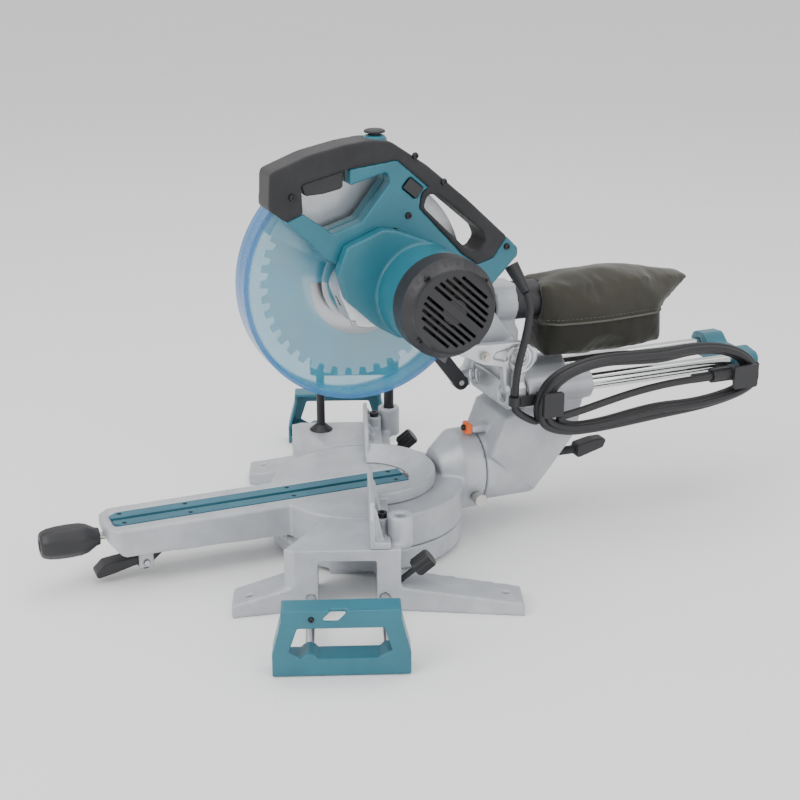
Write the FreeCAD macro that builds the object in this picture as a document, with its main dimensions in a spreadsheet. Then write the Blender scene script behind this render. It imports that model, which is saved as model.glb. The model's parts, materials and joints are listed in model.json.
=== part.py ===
import FreeCAD, Part
import math
import os
import re
from types import SimpleNamespace
from FreeCAD import Placement, Rotation, Vector

# Sliding compound mitre saw for a 216 mm blade, in millimetres.
# The origin is on the mitre axis at floor level, +Z is up and +X is the operator's right.
# Everything carried by the turntable is drawn with the mitre at zero, the front of the arm at -Y
# and the motor at +X, and is then turned about Z by rest_mitre.

SIZES = {
    # base
    "table_top": 68.0,
    "table_plate": 12.0,
    "table_half_width": 184.0,
    "table_front": 88.0,
    "table_rear": 30.0,
    "ring_radius": 106.4,
    "ring_wall": 8.0,
    "ring_low": 6.0,
    "ring_high": 29.0,
    "turning_gap": 0.8,
    "foot_hole_radius": 3.5,
    "foot_hole_x": 176.0,
    "foot_hole_front": 123.0,
    "foot_hole_rear": 137.0,
    "foot_tip_height": 13.0,
    "pivot_pin_radius": 6.0,
    "running_fit": 0.05,
    # fence
    "fence_top": 116.0,
    "left_fence_top": 96.0,
    "fence_plate": 5.0,
    "fence_gap": 46.0,
    "bridge_radius": 76.0,
    "bridge_height": 14.0,
    # wings
    "wing_inner_x": 287.0,
    "wing_depth": 26.0,
    "wing_wall": 3.0,
    "wing_travel": 92.0,
    "wing_rod_radius": 5.0,
    "wing_rod_height": 15.0,
    "wing_rod_front": 61.0,
    "wing_rod_rear": 13.5,
    # turntable and arm
    "rest_mitre": 20.0,
    "arm_front": 297.0,
    "arm_half_width": 34.0,
    "kerf_board_width": 14.5,
    "kerf_half_gap": 2.8,
    "kerf_board_thickness": 3.0,
    # bevel
    "barrel_radius": 43.0,
    "barrel_split": 128.0,
    "barrel_rear": 196.0,
    "bevel_shaft_radius": 8.0,
    # rails
    "pole_radius": 9.5,
    "pole_height": 164.0,
    "near_pole_x": 44.0,
    "far_pole_x": -24.0,
    "tube_radius": 17.0,
    "tube_front": 168.0,
    "tube_rear": 250.0,
    "pole_rear": 462.0,
    "slide_travel": 185.0,
    # head
    "hinge_y": 158.0,
    "hinge_z": 208.0,
    "hinge_pin_radius": 6.0,
    "blade_y": -9.0,
    "blade_z": 301.0,
    "blade_radius": 108.0,
    "blade_plate": 1.8,
    "blade_teeth": 40.0,
    "arbor_radius": 7.94,
    "guard_radius": 130.0,
    "guard_half_width": 15.0,
    "guard_wall": 2.0,
    "case_radius": 115.0,
    "case_half_width": 12.0,
    "motor_y": 37.0,
    "motor_z": 298.0,
    "motor_radius": 50.0,
    "motor_end": 112.0,
    "cap_end": 150.0,
    "handle_middle": 36.0,
    "handle_half": 17.0,
    "gear_teeth": 42.0,
    "pinion_teeth": 14.0,
    "nozzle_z": 256.0,
    "nozzle_radius": 21.5,
    "cord_diameter": 8.5,
}

doc = FreeCAD.newDocument("mitre_saw")
sheet = doc.addObject("Spreadsheet::Sheet", "sizes")
for row, (alias, number) in enumerate(SIZES.items(), 1):
    sheet.set(f"A{row}", alias)
    sheet.set(f"B{row}", str(number))
    sheet.setAlias(f"B{row}", alias)
doc.recompute()
d = SimpleNamespace(**{alias: float(sheet.get(alias)) for alias in SIZES})

ALONG = {"x": Rotation(Vector(0, 1, 0), 90), "y": Rotation(Vector(1, 0, 0), -90), "z": Rotation()}
ON_BASE = Placement()
ON_ARM = Placement(Vector(0, 0, 0), Rotation(Vector(0, 0, 1), d.rest_mitre))
NODES = {}


# ---------------------------------------------------------------- drawing tools

def linked(formula):
    """A formula in which each alias names its cell of the sheet."""
    return re.sub(r"[a-z_]+[a-z]", lambda word: "sizes." + word[0], str(formula))


def bind(thing, **formulas):
    for name, formula in formulas.items():
        thing.setExpression(name, linked(formula))
    return thing


def move_to(thing, corner, rotation=Rotation()):
    thing.Placement = Placement(Vector(0, 0, 0), rotation)
    for letter, formula in zip("xyz", corner):
        thing.setExpression("Placement.Base." + letter, linked(formula))
    return thing


def put(thing, placement):
    """Gives a thing a place of its own instead of its formulas."""
    for letter in "xyz":
        thing.setExpression("Placement.Base." + letter, None)
    thing.Placement = placement
    return thing


def box(name, size, corner):
    thing = doc.addObject("Part::Box", name)
    bind(thing, Length=size[0], Width=size[1], Height=size[2])
    return move_to(thing, corner)


def bar(name, radius, length, start, along="z"):
    thing = doc.addObject("Part::Cylinder", name)
    bind(thing, Radius=radius, Height=length)
    return move_to(thing, start, ALONG[along])


def taper(name, radius_start, radius_end, length, start, along="z"):
    thing = doc.addObject("Part::Cone", name)
    bind(thing, Radius1=radius_start, Radius2=radius_end, Height=length)
    return move_to(thing, start, ALONG[along])


def hexagon(name, across, length, start, along="z"):
    thing = doc.addObject("Part::Prism", name)
    bind(thing, Circumradius=f"{across} / 1.732", Height=length)
    return move_to(thing, start, ALONG[along])


def join(name, things):
    thing = doc.addObject("Part::MultiFuse", name)
    thing.Shapes = things
    thing.Refine = True
    return thing


def cut(name, solid, *tools):
    thing = doc.addObject("Part::Cut", name)
    thing.Base = solid
    thing.Tool = tools[0] if len(tools) == 1 else join(name + "_tools", list(tools))
    thing.Refine = True
    return thing


def common(name, first, second):
    thing = doc.addObject("Part::Common", name)
    thing.Base, thing.Tool = first, second
    return thing


def group(name, things):
    """Separate like solids kept in one node."""
    thing = doc.addObject("Part::Compound", name)
    thing.Links = things
    return thing


def rounded_path(points):
    """Lines through (x, y) points, with an arc at each point that has a third value, its radius."""
    corners = []
    for index, point in enumerate(points):
        here = Vector(point[0], point[1], 0)
        radius = point[2] if len(point) > 2 else 0
        back = (Vector(*points[index - 1][:2], 0) - here).normalize()
        ahead = (Vector(*points[(index + 1) % len(points)][:2], 0) - here).normalize()
        half = back.getAngle(ahead) / 2
        reach = radius / math.tan(half) if radius else 0
        middle = here
        if radius:
            inward = (back + ahead).normalize()
            middle = here + inward * (radius / math.sin(half) - radius)
        corners.append((here + back * reach, middle, here + ahead * reach, radius))
    edges = []
    for index, (start, middle, end, radius) in enumerate(corners):
        if radius:
            edges.append(Part.Arc(start, middle, end))
        following = corners[(index + 1) % len(corners)][0]
        if (following - end).Length > 1e-6:
            edges.append(Part.LineSegment(end, following))
    return edges


PLANES = {"side": ("YZ_Plane", 1), "front": ("XZ_Plane", -1), "plan": ("XY_Plane", 1)}


def plate(name, outline, start, depth, view="side"):
    """An outline drawn on a plane and padded along that plane's row axis from start."""
    role, direction = PLANES[view]
    body = doc.addObject("PartDesign::Body", name)
    plane = next(item for item in body.Origin.OriginFeatures if item.Role == role)
    sketch = body.newObject("Sketcher::SketchObject", name + "_outline")
    sketch.AttachmentSupport = (plane, [""])
    sketch.MapMode = "FlatFace"
    sketch.setExpression("AttachmentOffset.Base.z", linked(f"{direction} * ({start})"))
    for edge in rounded_path(outline):
        sketch.addGeometry(edge, False)
    pad = body.newObject("PartDesign::Pad", name + "_pad")
    pad.Profile = sketch
    pad.Reversed = direction < 0
    bind(pad, Length=depth)
    sketch.Visibility = False
    return body


def spun(name, outline, along, centre):
    """An outline of (along, radius) points turned about an axis through centre."""
    body = doc.addObject("PartDesign::Body", name)
    plane = next(item for item in body.Origin.OriginFeatures if item.Role == "XZ_Plane")
    sketch = body.newObject("Sketcher::SketchObject", name + "_outline")
    sketch.AttachmentSupport = (plane, [""])
    sketch.MapMode = "FlatFace"
    for edge in rounded_path([(point[1], point[0], *point[2:]) for point in outline]):
        sketch.addGeometry(edge, False)
    turned = body.newObject("PartDesign::Revolution", name + "_turn")
    turned.Profile = sketch
    turned.ReferenceAxis = (sketch, ["V_Axis"])
    turned.Angle = 360
    wrapper = doc.addObject("Part::Compound", name + "_placed")
    wrapper.Links = [body]
    return move_to(wrapper, centre, ALONG[along])


def toothed(name, radius, width, count, gap, centre):
    """A disc about the X direction with the gap outline cut out of its rim count times."""
    body = doc.addObject("PartDesign::Body", name)
    plane = next(item for item in body.Origin.OriginFeatures if item.Role == "XY_Plane")
    disc = body.newObject("Sketcher::SketchObject", name + "_disc")
    disc.AttachmentSupport = (plane, [""])
    disc.MapMode = "FlatFace"
    disc.addGeometry(Part.Circle(Vector(0, 0, 0), Vector(0, 0, 1), radius), False)
    pad = body.newObject("PartDesign::Pad", name + "_pad")
    pad.Profile = disc
    bind(pad, Length=width)
    space = body.newObject("Sketcher::SketchObject", name + "_gap")
    space.AttachmentSupport = (plane, [""])
    space.MapMode = "FlatFace"
    for edge in rounded_path(gap):
        space.addGeometry(edge, False)
    doc.recompute()
    full = pad.Shape.Volume
    pocket = body.newObject("PartDesign::Pocket", name + "_pocket")
    pocket.Profile = space
    pocket.Type = "ThroughAll"
    pocket.Midplane = True
    doc.recompute()
    if pocket.Shape.Volume > full - 1:
        raise ValueError(name + ": the tooth gap cuts nothing")
    ring = body.newObject("PartDesign::PolarPattern", name + "_ring")
    ring.Originals = [pocket]
    ring.Axis = (disc, ["N_Axis"])
    ring.Angle = 360
    ring.Occurrences = int(count)
    body.Tip = ring
    wrapper = doc.addObject("Part::Compound", name + "_placed")
    wrapper.Links = [body]
    return move_to(wrapper, centre, ALONG["x"])


def node(name, thing, placement=ON_ARM):
    """Names a finished sub-part, puts it in place and keeps it for export."""
    holder = doc.addObject("Part::Compound", name + "_node")
    holder.Links = [thing]
    holder.Placement = placement
    holder.Label = name
    NODES[name] = holder


def sector(centre, radius, start, end, steps):
    """Points of an arc about centre, from start to end degrees, measured from +Y towards +Z."""
    angles = [math.radians(start + (end - start) * i / steps) for i in range(steps + 1)]
    return [(centre[0] + radius * math.cos(a), centre[1] + radius * math.sin(a)) for a in angles]


def socket_screw(name, start, along, radius, length, head=1.7):
    """A cap screw whose head starts at start and whose shank runs back along the axis."""
    place = [f"({value})" for value in start]
    tip = list(place)
    index = "xyz".index(along)
    tip[index] = f"{place[index]} - {length}"
    parts = [bar(name + "_head", radius * head, radius * 1.6, place, along),
             bar(name + "_shank", radius, length + 0.2, tip, along)]
    recess = list(place)
    recess[index] = f"{place[index]} + {radius * 0.6}"
    return cut(name, join(name + "_solid", parts),
               hexagon(name + "_socket", radius * 1.5, radius * 2, recess, along))


# ---------------------------------------------------------------- base

BLADE = (d.blade_y, d.blade_z)
MOTOR = (d.motor_y, d.motor_z)
SIDES = {"left": -1, "right": 1}
GEARBOX = [(MOTOR[0] + 10, MOTOR[1] + 34, 20), (MOTOR[0] + 36, MOTOR[1], 24),
           (MOTOR[0] + 8, MOTOR[1] - 36, 20), (BLADE[0] - 24, BLADE[1] - 40, 20),
           (BLADE[0] - 43, BLADE[1] + 8, 18), (BLADE[0] - 14, BLADE[1] + 36, 14)]


def base_casting():
    solids = [bar("base_ring", "ring_radius", "ring_high - ring_low", (0, 0, "ring_low"))]
    front, rear, wide = d.table_front, d.table_rear, d.table_half_width
    outline = [(96, -41), (178, -front), (wide, 10 - front), (wide, rear), (96, rear)]
    for side, sign in SIDES.items():
        points = [(sign * x, y) for x, y in outline]
        table = plate(side + "_table", points, 0, "table_top", "plan")
        hollow = box(side + "_table_hollow", (110, 60, "table_top - table_plate + 1"),
                     (98 if sign > 0 else -208, -54, -1))
        solids.append(cut(side + "_table_open", table, hollow))
        for end, tip, root in (("front", -141, -80), ("rear", 154, 20)):
            inner, outer = (152, 195) if end == "front" else (158, 202)
            foot = doc.addObject("Part::Wedge", f"{side}_{end}_foot")
            near, far = min(tip, root), max(tip, root)
            heights = {tip: d.foot_tip_height, root: 27}
            widths = {tip: (inner, outer), root: (138, wide)}
            across_near = sorted(sign * x for x in widths[near])
            across_far = sorted(sign * x for x in widths[far])
            foot.Ymin, foot.Ymax, foot.Zmin, foot.Z2min = near, far, 0, 0
            foot.Xmin, foot.Xmax = across_near
            foot.X2min, foot.X2max = across_far
            foot.Zmax, foot.Z2max = heights[near], heights[far]
            solids.append(foot)
        solids.append(bar(side + "_vise_boss", 13, 34, (160 * sign, 30, "table_top - 6")))
    cuts = [bar("turntable_seat", "ring_radius + turning_gap", 60, (0, 0, "ring_high")),
            bar("ring_cavity", "ring_radius - ring_wall", 60, (0, 0, "ring_low + 5"))]
    body = cut("base_cut", join("base_solid", solids), *cuts)
    hub = join("base_with_hub", [body, bar("base_hub", 16, "ring_high", (0, 0, 0))])
    holes = [bar("pivot_hole", "pivot_pin_radius", 60, (0, 0, "ring_low"))]
    for side, sign in SIDES.items():
        for end, place in (("front", "-foot_hole_front"), ("rear", "foot_hole_rear")):
            holes.append(bar(f"{side}_{end}_foot_hole", "foot_hole_radius", 80,
                             (f"{sign} * foot_hole_x", place, -1)))
            rod_y = "-wing_rod_front" if end == "front" else "wing_rod_rear"
            start = "24" if sign > 0 else "-table_half_width - 6"
            holes.append(bar(f"{side}_{end}_rod_bore", "wing_rod_radius + running_fit",
                             "table_half_width - 18", (start, rod_y, "wing_rod_height"), "x"))
        holes.append(bar(side + "_vise_hole", 6.05, 60, (160 * sign, 30, "table_top - 20")))
        holes.append(put(bar(side + "_knob_hole", 3.1, 60, (0, 0, 0)), knob_place(sign)))
    node("base_casting", cut("base", hub, *holes), ON_BASE)


def knob_place(sign):
    """Where a wing lock knob's axis starts: at the rear rod, rising backwards."""
    lean = 50
    return Placement(Vector(172 * sign, d.wing_rod_rear, d.wing_rod_height),
                     Rotation(Vector(1, 0, 0), -lean))


def base_details():
    pivot = join("pivot_bolt", [
        bar("pivot_shank", "pivot_pin_radius", "ring_high + 15", (0, 0, "ring_low + 0.2")),
        hexagon("pivot_head", 18, 6, (0, 0, "ring_high + 19.3"))])
    fence_bolts = [socket_screw(side + "_fence_bolt", (148 * sign, 12, "table_top + 20.6"), "z", 3.1, 20)
                   for side, sign in SIDES.items()]
    node("base_bolts", group("base_bolt_set", [pivot] + fence_bolts), ON_BASE)
    for side, sign in SIDES.items():
        knob = join(side + "_knob", [bar(side + "_knob_stud", 3, 36, (0, 0, 5.4)),
                                     bar(side + "_knob_grip", 9, 20, (0, 0, 41))])
        knob.Placement = knob_place(sign)
        node(side + "_wing_knob", knob, ON_BASE)


def fence():
    top, gap, wide = d.fence_top, d.fence_gap, d.table_half_width
    low = d.table_top + 0.5
    left_top = d.left_fence_top
    left = [(-gap - 8, low), (-gap - 20, low + 14), (-gap - 40, left_top), (-wide + 8, left_top),
            (-wide, left_top - 8), (-wide, low)]
    right = [(gap, low), (wide, low), (wide, top - 16, 4), (wide - 14, top - 2, 4),
             (gap + 24, top - 2, 6), (gap + 4, top - 18)]
    solids = [plate("left_fence", left, "-1", "fence_plate", "front"),
              plate("right_fence", right, "-1", "fence_plate", "front")]
    ring = bar("bridge_ring", "bridge_radius", "bridge_height", (0, 0, "table_top + 0.5"))
    bowl = taper("bridge_bowl", "fence_gap", "bridge_radius - 3", "bridge_height + 0.02",
                 (0, 0, "table_top + 0.49"))
    front = box("bridge_front", (300, 200, 60), (-150, -200, "table_top"))
    solids.append(cut("bridge", ring, bowl, front))
    holes = []
    for side, sign in SIDES.items():
        solids.append(box(side + "_fence_foot", ("table_half_width - fence_gap - 14", 17, 7),
                          ("fence_gap + 14" if sign > 0 else "-table_half_width", 3, "table_top + 0.5")))
        rib_top = (top if sign > 0 else left_top) - 8
        rib = [(3.5, low), (18, low), (12, low + 10), (6, rib_top), (3.5, rib_top)]
        for place in (98, 122, 174):
            solids.append(plate(f"{side}_fence_rib_{place}", rib, sign * place - 2, 4))
        solids.append(bar(side + "_fence_boss", 8.5, 20, (148 * sign, 12, "table_top + 0.5")))
        holes.append(bar(side + "_fence_bolt_hole", 3.2, 60, (148 * sign, 12, "table_top")))
        holes.append(bar(side + "_vise_clear", 13.4, 60, (160 * sign, 30, "table_top - 8")))
    node("fence", cut("fence_cut", join("fence_solid", solids), *holes), ON_BASE)


def vise():
    post = bar("vise_post_bar", 6, 86, (-160, 30, "table_top + 1"))
    arm_plan = [(-171, 42, 8), (-171, -64, 8), (-149, -64, 8), (-149, 42, 8)]
    arm = cut("vise_arm_cut", plate("vise_arm_outline", arm_plan, 140, 14, "plan"),
              bar("vise_screw_bore", 5.05, 40, (-160, -52, 130)))
    node("vise_clamp", join("vise_clamp_solid", [post, arm]), ON_BASE)
    screw = join("vise_screw_solid", [
        bar("vise_spindle", 5, 90, (-160, -52, "table_top + 6")),
        taper("vise_foot", 14, 6, 7, (-160, -52, "table_top + 0.6")),
        bar("vise_knob", 11, 10, (-160, -52, "table_top + 92"))])
    node("vise_screw", screw, ON_BASE)


def wing(side, sign):
    inner = d.wing_inner_x
    outer = inner + d.wing_depth
    low, top = 1.0, d.table_top
    outline = [(-96, low), (34, low), (34, 23), (25, 58), (25, top), (-87, top), (-87, 58), (-96, 23)]
    start = "wing_inner_x" if sign > 0 else "-wing_inner_x - wing_depth"
    shell = plate(side + "_wing_outline", outline, start, "wing_depth")
    inside = [(-93, low - 1), (31, low - 1), (31, 21), (22, 56), (22, top - 4), (-84, top - 4),
              (-84, 56), (-93, 21)]
    hollow_start = "wing_inner_x - 1" if sign > 0 else "-wing_inner_x - wing_depth + wing_wall"
    hollow = plate(side + "_wing_hollow", inside, hollow_start, "wing_depth - wing_wall + 1")
    window = [(-80, 26), (-72, 50), (9, 50), (16, 26), (4, 19), (-68, 19)]
    opening = plate(side + "_wing_window", window, sign * (inner + outer) / 2 - 30, 60)
    open_shell = cut(side + "_wing_shell", shell, hollow, opening)
    sill = box(side + "_wing_sill", ("wing_depth - 2", 118, 3),
               ("wing_inner_x + 1" if sign > 0 else "-wing_inner_x - wing_depth + 1", -90, 19 - 3))
    bosses = []
    for end, place in (("front", "-wing_rod_front"), ("rear", "wing_rod_rear")):
        bosses.append(bar(f"{side}_{end}_rod_boss", 8.5, "wing_depth - 1", (
            "wing_inner_x" if sign > 0 else "-wing_inner_x - wing_depth + 1", place, "wing_rod_height"), "x"))
    bores = [bar(f"{side}_{end}_rod_seat", "wing_rod_radius", "wing_depth + 4", (
        "wing_inner_x - 8" if sign > 0 else "-wing_inner_x - wing_depth + 4", place, "wing_rod_height"), "x")
        for end, place in (("front", "-wing_rod_front"), ("rear", "wing_rod_rear"))]
    notch = plate(side + "_wing_notch", [(-50, 58), (-38, 70), (-22, 70), (-34, 58)],
                  sign * outer - 6, 12)
    frame = cut(side + "_wing_frame_cut", join(side + "_wing_solid", [open_shell, sill] + bosses),
                notch, *bores)
    node(side + "_wing_frame", frame, ON_BASE)
    rods = [bar(f"{side}_{end}_rod", "wing_rod_radius", "wing_inner_x + wing_depth - 4 - 150", (
        "150" if sign > 0 else "-wing_inner_x - wing_depth + 4", place, "wing_rod_height"), "x")
        for end, place in (("front", "-wing_rod_front"), ("rear", "wing_rod_rear"))]
    node(side + "_wing_rods", group(side + "_rod_pair", rods), ON_BASE)


# ---------------------------------------------------------------- turntable

def turntable():
    front = d.arm_front
    arm_side = [(-front, 54, 8), (-front + 14, 38, 8), (-100, 32), (-60, 32), (-60, d.table_top),
                (-front, d.table_top, 2)]
    arm = plate("arm_side", arm_side, "-arm_half_width", "2 * arm_half_width")
    arm_plan = [(-34, -60), (-34, -front + 12), (-22, -front, 8), (22, -front, 8), (34, -front + 12),
                (34, -60)]
    arm = common("arm_rounded", arm, plate("arm_plan", arm_plan, 0, "table_top + 1", "plan"))
    disc = bar("turntable_disc", "ring_radius", "table_top - ring_high - 1", (0, 0, "ring_high + 1"))
    tab = box("bevel_tab", (72, 40, 30), (-36, 86, 30))
    housing = bar("bevel_housing", "barrel_radius", "barrel_split - 104", (0, 104, "table_top"), "y")
    cone = taper("bevel_cone", 24, "barrel_radius", 24.01, (0, 80, "table_top"), "y")
    solid = join("turntable_solid", [arm, disc, tab, housing, cone])
    cuts = [bar("turntable_cavity", "ring_radius - ring_wall", 30, (0, 0, 28)),
            bar("ring_clearance", "ring_radius + turning_gap", 40, (0, 0, "ring_high - 39.5")),
            box("arm_cavity", (57, "arm_front - 68", 32), (-28.5, "8 - arm_front", 28)),
            box("kerf_recess", ("2 * (kerf_half_gap + kerf_board_width)", 332, 20),
                ("-kerf_half_gap - kerf_board_width", -288, "table_top - kerf_board_thickness")),
            plate("kerf_slot", [(-7, -286), (9.2, -286), (9.2, 50), (-7, 50)], 40, 60, "plan")]
    opened = cut("turntable_open", solid, *cuts)
    hub = join("turntable_hub", [opened, bar("mitre_hub", 14, 18, (0, 0, 30)),
                                 box("mitre_web", (8, 196, 16), (-34, -98, 30)),
                                 box("mitre_web_near", (8, 196, 16), (26, -98, 30)),
                                 box("mitre_cross", (60, 8, 16), (-30, -4, 30)),
                                 box("near_lever_ear", (4, 16, 28), (13, LEVER_Y - 8, 14)),
                                 box("far_lever_ear", (4, 16, 28), (-17, LEVER_Y - 8, 14)),
                                 box("lever_ear_root", (60, 16, 4), (-30, LEVER_Y - 8, 36))])
    holes = [bar("mitre_bore", "pivot_pin_radius + running_fit", 40, (0, 0, 20)),
             bar("bevel_bore", "bevel_shaft_radius", 60, (0, 96, "table_top"), "y"),
             bar("grip_bore", 4.05, 30, (0, "-arm_front - 6", 52), "y"),
             bar("bevel_pin_bore", 4.05, 40, (20, 116, 44), "x"),
             bar("lever_pin_bore", 3, 60, (-30, LEVER_Y, 20), "x")]
    holes += [bar(f"{side}_screw_bore_{number}", 2.5, 12, (sign * BOARD_SCREW_ACROSS, place, "table_top - 9"))
              for side, sign in SIDES.items() for number, place in enumerate(BOARD_SCREWS)]
    node("turntable", cut("turntable_cut", hub, *holes))


def turntable_details():
    boards = []
    for side, sign in (("far", -1), ("near", 1)):
        low = "kerf_half_gap" if sign > 0 else "-kerf_half_gap - kerf_board_width + 0.1"
        board = box(side + "_board_block", ("kerf_board_width - 0.1", 330, "kerf_board_thickness"),
                    (low, -287, "table_top - kerf_board_thickness"))
        corner = plate(side + "_board_corner", [(sign * 8, -290), (sign * 20, -290), (sign * 20, -276)],
                       60, 20, "plan")
        holes = [bar(f"{side}_board_hole_{number}", 2.6, 20, (sign * BOARD_SCREW_ACROSS, place, 58))
                 for number, place in enumerate(BOARD_SCREWS)]
        relief = plate(side + "_board_relief", [(7.4, 64), (2.6, 64), (2.6, 68.8)], -290, 340, "front")
        boards.append(cut(side + "_board_cut", board, corner, relief, *holes))
    node("kerf_boards", group("kerf_board_pair", boards))
    screws = [join("pointer_screw", [bar("pointer_screw_head", 3.4, 2.4, (13.5, 109.5, 118.5), "y"),
                                     bar("pointer_screw_shank", 2, 7.4, (13.5, 111.5, 118.5), "y")])]
    for side, sign in SIDES.items():
        across = sign * BOARD_SCREW_ACROSS
        for number, place in enumerate(BOARD_SCREWS):
            name = f"{side}_board_screw_{number}"
            solid = bar(name, 2.5, 7, (across, place, "table_top - 7.4"))
            slot = box(name + "_slot", (5.4, 0.8, 1), (across - 2.7, place - 0.4, "table_top - 0.9"))
            screws.append(cut(name + "_cut", solid, slot))
    node("turntable_screws", group("turntable_screw_set", screws))
    strip = plate("detent_strip", [(-264, 34.5), (-236, 34.5), (-128, 30.8), (-122, 29.8), (-100, 29.8),
                                   (-100, 31.3), (-121, 31.3), (-127, 32.3), (-236, 36), (-264, 36)], -8, 16)
    block = box("detent_block", (12, 8, 8), (-6, -109, 29.5))
    node("detent_spring", join("detent", [strip, block]))
    pins = [bar("bevel_shaft", "bevel_shaft_radius", "barrel_rear - 82", (0, 96, "table_top"), "y"),
            bar("lever_pin", 3, 36, (-18, LEVER_Y, 20), "x")]
    node("turntable_pins", group("turntable_pin_set", pins))


LEVER_Y = 41 - SIZES["arm_front"]
BOARD_SCREWS = (-276, -205, -90, 30)
BOARD_SCREW_ACROSS = 12.2


def mitre_controls():
    start = -d.arm_front
    grip = spun("grip_turn", [(-66, 0), (-66, 11), (-60, 16, 2), (-44, 18, 4), (-24, 18, 4), (-10, 9, 3),
                              (-4, 9), (-4, 0)], "y", (0, "-arm_front", 52))
    grip = cut("grip_open", grip, bar("grip_hole", 6, 26, (0, "-arm_front - 70", 52), "y"))
    stud = bar("grip_stud", 4, 26, (0, "-arm_front - 8", 52), "y")
    node("mitre_grip", join("grip_solid", [grip, stud]))
    lever = [(start - 12, 12, 3), (start - 2, 22, 6), (LEVER_Y - 6, 26), (LEVER_Y + 20, 31),
             (LEVER_Y + 20, 27), (LEVER_Y + 8, 17, 2), (LEVER_Y - 6, 17, 4), (start + 6, 10, 6),
             (start - 10, 7, 3)]
    body = join("lever_solid", [plate("lever_side", lever, -10, 20),
                                bar("lever_boss", 9, 24, (-12, LEVER_Y, 20), "x")])
    body = cut("lever_cut", body, bar("lever_bore", 3.05, 60, (-30, LEVER_Y, 20), "x"))
    node("mitre_lock_lever", body)


# ---------------------------------------------------------------- bevel

def bevel_arm():
    height, front, rear = d.pole_height, d.tube_front, d.tube_rear
    barrel = bar("bevel_barrel", "barrel_radius", "barrel_rear - barrel_split - 1",
                 (0, "barrel_split + 1", "table_top"), "y")
    upright = plate("upright_side", [(129.5, 92), (146, 136), (front, height - 18), (front, height - 10),
                                     (rear - 8, height - 10),
                                     (238, 114, 14), (200, 54, 8), (190, 40)],
                    "-30", 80)
    shaped = common("upright_shaped", upright, plate(
        "upright_front", [(-24, 20), (34, 20), (50, 100), (50, 200), (-30, 200), (-38, 80)], 100, 200, "front"))
    tubes = [bar(f"{side}_tube", "tube_radius", "tube_rear - tube_front",
                 (f"{side}_pole_x", "tube_front", "pole_height"), "y") for side in ("near", "far")]
    bridge = box("tube_bridge", ("near_pole_x - far_pole_x", "tube_rear - tube_front - 6", 22),
                 ("far_pole_x", "tube_front + 3", "pole_height - 14"))
    lug = box("pointer_lug", (16, 32, 9), (6, 119, "table_top + barrel_radius + 1.5"))
    solid = join("bevel_solid", [barrel, shaped, bridge, lug] + tubes)
    cuts = [bar("bevel_arm_bore", "bevel_shaft_radius + running_fit", 90, (0, 120, "table_top"), "y"),
            bar("bevel_lever_room", 18, 60, (0, "barrel_rear + 1.5", "table_top"), "y")]
    for side in ("near", "far"):
        cuts.append(bar(f"{side}_tube_bore", 12.5, "tube_rear - tube_front + 2",
                        (f"{side}_pole_x", "tube_front - 1", "pole_height"), "y"))
    solid.Refine = False
    node("bevel_arm", cut("bevel_cut", solid, *cuts))


def bevel_details():
    bushes = []
    for side in ("near", "far"):
        for end, place in (("front", "tube_front + 2"), ("rear", "tube_rear - 26")):
            outer = bar(f"{side}_{end}_bush_outer", 12.5, 24, (f"{side}_pole_x", place, "pole_height"), "y")
            inner = bar(f"{side}_{end}_bush_inner", "pole_radius + running_fit", 30,
                        (f"{side}_pole_x", f"{place} - 3", "pole_height"), "y")
            bushes.append(cut(f"{side}_{end}_bush", outer, inner))
    node("linear_bearings", group("bush_set", bushes))
    pointer = plate("pointer_side", [(112, 112.2), (118.9, 112.2), (118.9, 124, 2), (113, 124, 2)], 7, 13)
    pointer = cut("pointer_cut", pointer, bar("pointer_hole", 2, 12, (13.5, 110, 118.5), "y"))
    node("bevel_pointer", pointer)
    stop = join("bevel_pin_solid", [bar("bevel_pin_shank", 4, 24, (24, 116, 44), "x"),
                                    bar("bevel_pin_collar", 5.5, 6, (39, 116, 44), "x"),
                                    bar("bevel_pin_head", 7, 9, (44.9, 116, 44), "x")])
    node("bevel_release_pin", stop)
    hub = bar("lever_hub", 12, 12, (0, "barrel_rear + 2", "table_top"), "y")
    shaft_start, shaft_end = Vector(5, d.barrel_rear + 9, d.table_top), Vector(34, 250, 80)
    stem = doc.addObject("Part::Cylinder", "lever_stem")
    stem.Radius, stem.Height = 5, (shaft_end - shaft_start).Length
    stem.Placement = Placement(shaft_start, Rotation(Vector(0, 0, 1), shaft_end - shaft_start))
    handle = plate("lever_handle_side", [(242, 71, 3), (276, 80, 3), (281, 91, 3), (264, 91, 3), (243, 87, 3)],
                   26, 16)
    solid = join("bevel_lever_solid", [hub, stem, handle])
    node("bevel_lock_lever", cut("bevel_lever_cut", solid, bar(
        "bevel_lever_bore", "bevel_shaft_radius + running_fit", 17, (0, "barrel_rear", "table_top"), "y")))


# ---------------------------------------------------------------- carriage

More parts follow.
